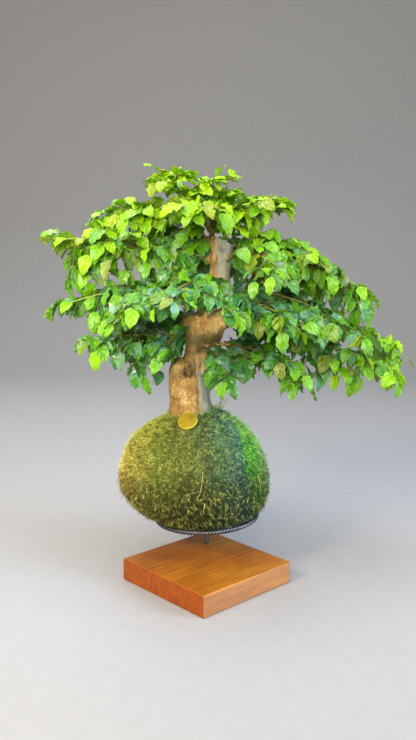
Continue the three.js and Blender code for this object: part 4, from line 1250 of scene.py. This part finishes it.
# further side twigs where the real crown closes up: where they start on each bough, and their tips
infill = {
    "upper_left": [
        (0.45, -65, 66, 466), (0.55, -91, 72, 472), (0.65, -116, 76, 467), (0.78, -141, 80, 460),
        (0.06, -18, 46, 424)],
    "long_left": [
        (0.5, -72, 26, 386), (0.6, -99, 24, 381), (0.7, -123, 22, 380), (0.8, -146, 24, 376),
        (0.85, -168, 26, 370), (0.04, -16, 36, 404), (0.1, -30, 34, 410), (0.16, -34, 40, 392)],
    "upper_right": [(0.05, 27, 52, 428), (0.15, 46, 56, 436), (0.2, 61, 60, 424)],
    "top_right": [(0.35, 22, 40, 490), (0.5, 41, 42, 480), (0.4, 34, 38, 461), (0.6, 54, 42, 456)],
    "outer_right": [
        (0.05, 36, 42, 380), (0.15, 53, 42, 383), (0.25, 69, 42, 375), (0.55, 118, 44, 368),
        (0.65, 142, 46, 354), (0.75, 166, 48, 343), (0.85, 186, 50, 332), (0.95, 202, 54, 336),
        (0.04, 38, 40, 398)],
    "low_right_long": [
        (0.55, 118, 20, 266), (0.65, 132, 20, 258), (0.75, 159, 16, 266), (0.85, 181, 16, 258),
        (0.06, 34, 40, 322), (0.14, 52, 36, 330)],
    "right_arm": [(0.9, 250, 92, 262)],
    "low_left": [(0.3, -61, 34, 265), (0.4, -78, 32, 257), (0.5, -90, 32, 266)],
    "top_left": [(0.06, -14, 40, 446), (0.12, -26, 42, 436)],
    "mid_left": [(0.05, -14, 40, 372)],
    "mid_right": [(0.06, 40, 38, 366)],
}
# parts of the trunk that show between the leaves from the front: left, right, bottom and top in the
# plane y = 50
clearings = [
    (-31, 24, 290, 342), (-38, -6, 262, 296), (-56, -16, 205, 274), (-1, 34, 378, 438),
    (-4, 7, 432, 452),
]
clearPlane = 50


# One leaf on a line; the young leaves at the top of the crown lie flatter
def growLeaf(line, place, sideSign, size, random, extraDroop=lambda: 0.0):
    root, tangent = line(place), tangentOf(line, place)
    turn = math.radians(44 + 30 * random())
    droop = -0.15 + 0.8 * random()
    roll = math.radians(-38 + 76 * random())
    leaf = {"root": root, "length": size * (0.84 + 0.32 * random())}
    leaf["width"] = leaf["length"] * (0.48 + 0.12 * random())
    leaf["curl"] = 0.35 + 0.7 * random()
    leaf["fold"] = 0.12 + 0.3 * random()
    leaf["wave"] = (random() - 0.5) * 3
    droop += extraDroop() - 0.35 * smoothStep(395, 475, root.z)
    if sideSign == 0:
        turn = 0
    side = frameOf(tangent)[0] * (sideSign * math.sin(turn))
    leaf["direction"] = (tangent * math.cos(turn) + side - up * droop).normalized()
    normal = (up - leaf["direction"] * up.dot(leaf["direction"])).normalized()
    leaf["normal"] = Matrix.Rotation(roll, 3, leaf["direction"]) @ normal
    return leaf


# A closed blade: a grid folded over into an upper and a lower face that meet along the margin
def addLeaf(bm, leaf, layers):
    rows, columnCount = len(bladeRows) - 1, leafForm["columns"]
    half = columnCount // 2
    grid = bmesh.ops.create_grid(
        bm, x_segments=columnCount, y_segments=rows, size=0.5, calc_uvs=True)["verts"]
    direction, normal, curl = leaf["direction"], leaf["normal"], leaf["curl"]
    length, width = leaf["length"], leaf["width"]
    across = normal.cross(direction)
    columns = {}
    for vert in grid:
        column = columns[vert] = round((vert.co.x + 0.5) * columnCount)
        along, share = bladeRows[round((vert.co.y + 0.5) * rows)]
        upper = column <= half
        u = (column - 2) / 2 if upper else (6 - column) / 2
        margin = 1 + leafForm["margin"] * math.sin(along * 17 + leaf["phase"] * 2) * abs(u)
        sideways = -u * share * margin * width * leafForm["breadth"] / 2
        bend = curl * along
        lift = normal * math.cos(bend) + direction * math.sin(bend)
        wave = leaf["wave"] * math.sin(along * 5.2) * u
        ruffle = math.sin(along * 21 + leaf["phase"] + u) * leafForm["ruffle"] * width * u * u * share
        skin = (1 if upper else -1) * leafForm["thickness"] / 2 * (1 - u * u) * min(share * 3, 1)
        vert.co = (
            leaf["root"] + direction * (length * math.sin(bend) / curl)
            - normal * (length * (1 - math.cos(bend)) / curl)
            + across * sideways + lift * (wave + ruffle + abs(sideways) * leaf["fold"] + skin)
        )
        vert[layers[0]] = leaf["age"]
        vert[layers[1]] = leaf["tone"]
    for edge in {e for v in grid for e in v.link_edges}:
        first, last = [columns[v] for v in edge.verts]
        if first == last and first % half == 0:
            edge.smooth = False
    bmesh.ops.remove_doubles(bm, verts=grid, dist=1e-4)


def hidesTrunk(leaf):
    eye = Vector(view["place"]) / mm
    for along in (0.3, 0.6, 0.9):
        point = leaf["root"] + leaf["direction"] * (leaf["length"] * along)
        if point.y > 46:
            continue
        seen = eye + (point - eye) * ((clearPlane - eye.y) / (point.y - eye.y))
        if any(a < seen.x < b and low < seen.z < high for a, b, low, high in clearings):
            return True
    return False


# A twig with opposite leaves at each place along it and one at its tip
def growTwig(sprig, line, places, size, random, droop=0.0):
    sprig["twigs"].append((line, twigForm["sideRoot"], twigForm["sideTip"]))
    for place in places:
        for sign in (1, -1):
            leaf = growLeaf(
                line, place, sign, size * (1.12 - 0.2 * place), random,
                lambda: droop * random() if droop else 0.0)
            sprig["leaves"].append((leaf, place))
    sprig["leaves"].append((growLeaf(line, 1, 0, size, random, lambda: droop * 0.5), 1.0))


def addSideTwig(sprig, line, share, sideSign, length, size, random, places=(0.6,), tilt=None, droop=0.0):
    start, tangent = line(share), tangentOf(line, share)
    side, rise = frameOf(tangent)
    lean = -0.25 + 0.6 * random() if tilt is None else tilt
    heading = (tangent * 0.62 + side * (sideSign * 0.78) + rise * lean).normalized()
    sag = length * (0.1 + 0.25 * random())
    via = start + heading * (length * 0.55) + up * (length * 0.06)
    twig = bezierLine(start, via, start + heading * length - up * sag)
    growTwig(sprig, twig, places, size, random, droop)


# More side twigs, as many as the real crown has, from the woody part to the tip
def fillOut(sprig, line, length, spread, random, rule):
    count = round(length / rule["spacing"])
    low, high = rule["span"]
    for k in range(count):
        share = low + (high - low) * (k + random()) / count
        sign = 1 if (k + (random() < 0.3)) % 2 else -1
        tilt = -0.35 + 1.05 * random()
        reach = spread * (0.62 + 0.42 * random()) * (1 - 0.35 * share)
        size = crown["leaf"] * (1.04 - 0.22 * share)
        addSideTwig(sprig, line, share, sign, reach, size, random, rule["pairs"], tilt, 0.5)


def planSprig(index, bough):
    name, _, _, _, wood, nodeCount, twigCount, spread = bough
    random = randomStream(7919 * (index + 1))
    line = limbLine(bough)
    length = lineLength(line)
    main = stretch(line, wood + stand["gap"] / length, 1)
    sprig = {"twigs": [(main, twigForm["mainRoot"], twigForm["mainTip"])], "leaves": []}
    for node in range(nodeCount):
        share = (node + 0.75) / (nodeCount + 0.35)
        branching = 1 if node % 2 == 0 else -1
        size = 31 - 9 * share
        for sign in (1, -1):
            if node >= twigCount or sign != branching:
                sprig["leaves"].append((growLeaf(main, share, sign, size, random), share))
            else:
                reach = spread * (0.85 + 0.3 * random())
                addSideTwig(sprig, main, share, sign, reach, size * 0.94, random)
    sprig["leaves"].append((growLeaf(main, 1, 0, 21, random), 1.0))
    random = randomStream(104729 * (index + 1))
    fillOut(sprig, line, length, spread, random, crown["outer"])
    fillOut(sprig, line, length, spread, randomStream(32452843 * (index + 1)), crown["inner"])
    for share, *tip in infill.get(name, []):
        start, end = line(share), Vector(tip)
        reach = (end - start).length
        pairs = max(2, round(reach / 16))
        places = [(k + 0.8) / (pairs + 0.4) for k in range(pairs)]
        twig = bezierLine(start, (start + end) / 2 + up * (0.15 * reach), end)
        growTwig(sprig, twig, places, 26, random, 0.4)
    sprig["leaves"] = [(leaf, share) for leaf, share in sprig["leaves"] if not hidesTrunk(leaf)]
    return sprig


def makeSprig(index, bough):
    sprig = planSprig(index, bough)
    random = randomStream(15485863 * (index + 1))
    bm = bmesh.new()
    layers = [bm.verts.layers.float.new(name) for name in ("age", "tone")]
    bm.loops.layers.uv.new("blade")
    for leaf, share in sprig["leaves"]:
        # leaves further out and higher up come out younger and lime: partly young growth, partly painted
        # light where light falls on and through the crown's top
        out = (leaf["root"] - crown["heart"]).length / 200
        high = max((leaf["root"].z - 400) / 260, -0.13)
        young = 0.1 + 0.55 * out ** 1.15 + high + 0.14 * share + 0.42 * (random() - 0.5)
        leaf["age"] = min(max(young, 0.02), 1)
        leaf["tone"] = random()
        leaf["phase"] = random() * 6.28
        addLeaf(bm, leaf, layers)
    for line, root, tip in sprig["twigs"]:
        steps = max(4, round(lineLength(line) / 9))
        for face in addTube(bm, line, lambda t, r=root, e=tip: r + (e - r) * t, 6, steps):
            face.material_index = 1
            for vert in face.verts:
                vert[layers[0]] = min(max((vert.co - line(0)).length / 160, 0.1), 0.9)
    thing = makeObject("foliage_" + bough[0], bm, [leafBlade, twigBark])
    placePiece(thing, "leaf", "spray_" + bough[0])
    return len(sprig["leaves"])


leafCount = sum(makeSprig(index, bough) for index, bough in enumerate(boughs))
print("foliage made:", leafCount, "leaves")


# Floor, light and camera

studio = {"floorSize": 12.0, "bendAt": 1.6, "bendRadius": 1.0}


# A floor that bends up into a wall behind the object
def makeFloor():
    bm = bmesh.new()
    bmesh.ops.create_grid(bm, x_segments=8, y_segments=120, size=studio["floorSize"] / 2)
    radius = studio["bendRadius"]
    for vert in bm.verts:
        beyond = vert.co.y - studio["bendAt"]
        if beyond > 0:
            angle = min(beyond / radius, math.pi / 2)
            rest = max(beyond - radius * math.pi / 2, 0)
            vert.co.y = studio["bendAt"] + math.sin(angle) * radius
            vert.co.z = (1 - math.cos(angle)) * radius + rest
        vert.co /= mm
    floor = makeObject("floor", bm, [floorMaterial()], turnOut=False)


# A soft round panel, or a lamp with a beam of so many degrees
def addLight(name, place, aim, size, power, colour, beam=0):
    data = bpy.data.lights.new(name, "SPOT" if beam else "AREA")
    if beam:
        data.spot_size = math.radians(beam)
        data.spot_blend = 0.5
        data.shadow_soft_size = size / 2
    else:
        data.shape = "DISK"
        data.size = size
    data.energy = power
    data.color = linear(colour)[:3]
    light = bpy.data.objects.new(name, data)
    light.location = place
    light.rotation_euler = (Vector(aim) - Vector(place)).to_track_quat("-Z", "Y").to_euler()
    bpy.context.scene.collection.objects.link(light)


makeFloor()
addLight("keyWarm", (-1.2, -1.3, 1.35), (0, 0.05, 0.3), 0.6, 26, "#ffe8c8")
addLight("frontSoft", (-0.25, -2.0, 1.05), (0, 0.05, 0.36), 1.2, 38, "#fff4e0")
addLight("fillCool", (1.4, -0.7, 1.1), (0, 0.05, 0.3), 1.1, 22, "#a9ccff")
addLight("topSoft", (-0.3, -0.1, 1.75), (0, 0.05, 0.3), 1.3, 27, "#e6efff")
addLight("heartBeam", (-0.2, -1.35, 0.62), (-0.14, -0.02, 0.325), 0.2, 62, "#fff6e6", beam=13)
addLight("burlBeam", (-0.02, -0.95, 0.48), (0.004, 0.04, 0.341), 0.03, 27, "#fff2d8", beam=3.8)
addLight("backSoft", (-0.4, 1.3, 1.7), (0, 0.05, 0.35), 1.0, 15, "#e6f0ff")
addLight("sideSheen", (1.3, -0.4, 0.6), (0, 0, 0.08), 0.5, 40, "#f0f3ff", beam=32)
world = bpy.data.worlds.new("paleRoom")
world.use_nodes = True
sky = world.node_tree.nodes["Background"].inputs
sky["Color"].default_value = linear("#e9edf2")
sky["Strength"].default_value = 0.36
bpy.context.scene.world = world

cameraData = bpy.data.cameras.new("camera")
cameraData.lens = view["lens"]
cameraData.sensor_width = 36
cameraData.clip_start = 0.05
camera = bpy.data.objects.new("camera", cameraData)
camera.matrix_world = (
    Matrix.Translation(view["place"]) @ Matrix.Rotation(math.radians(90 - view["pitch"]), 4, "X")
    @ Matrix.Rotation(math.radians(view["roll"]), 4, "Z")
)
bpy.context.scene.collection.objects.link(camera)
bpy.context.scene.camera = camera
bpy.context.scene.view_settings.view_transform = "Standard"
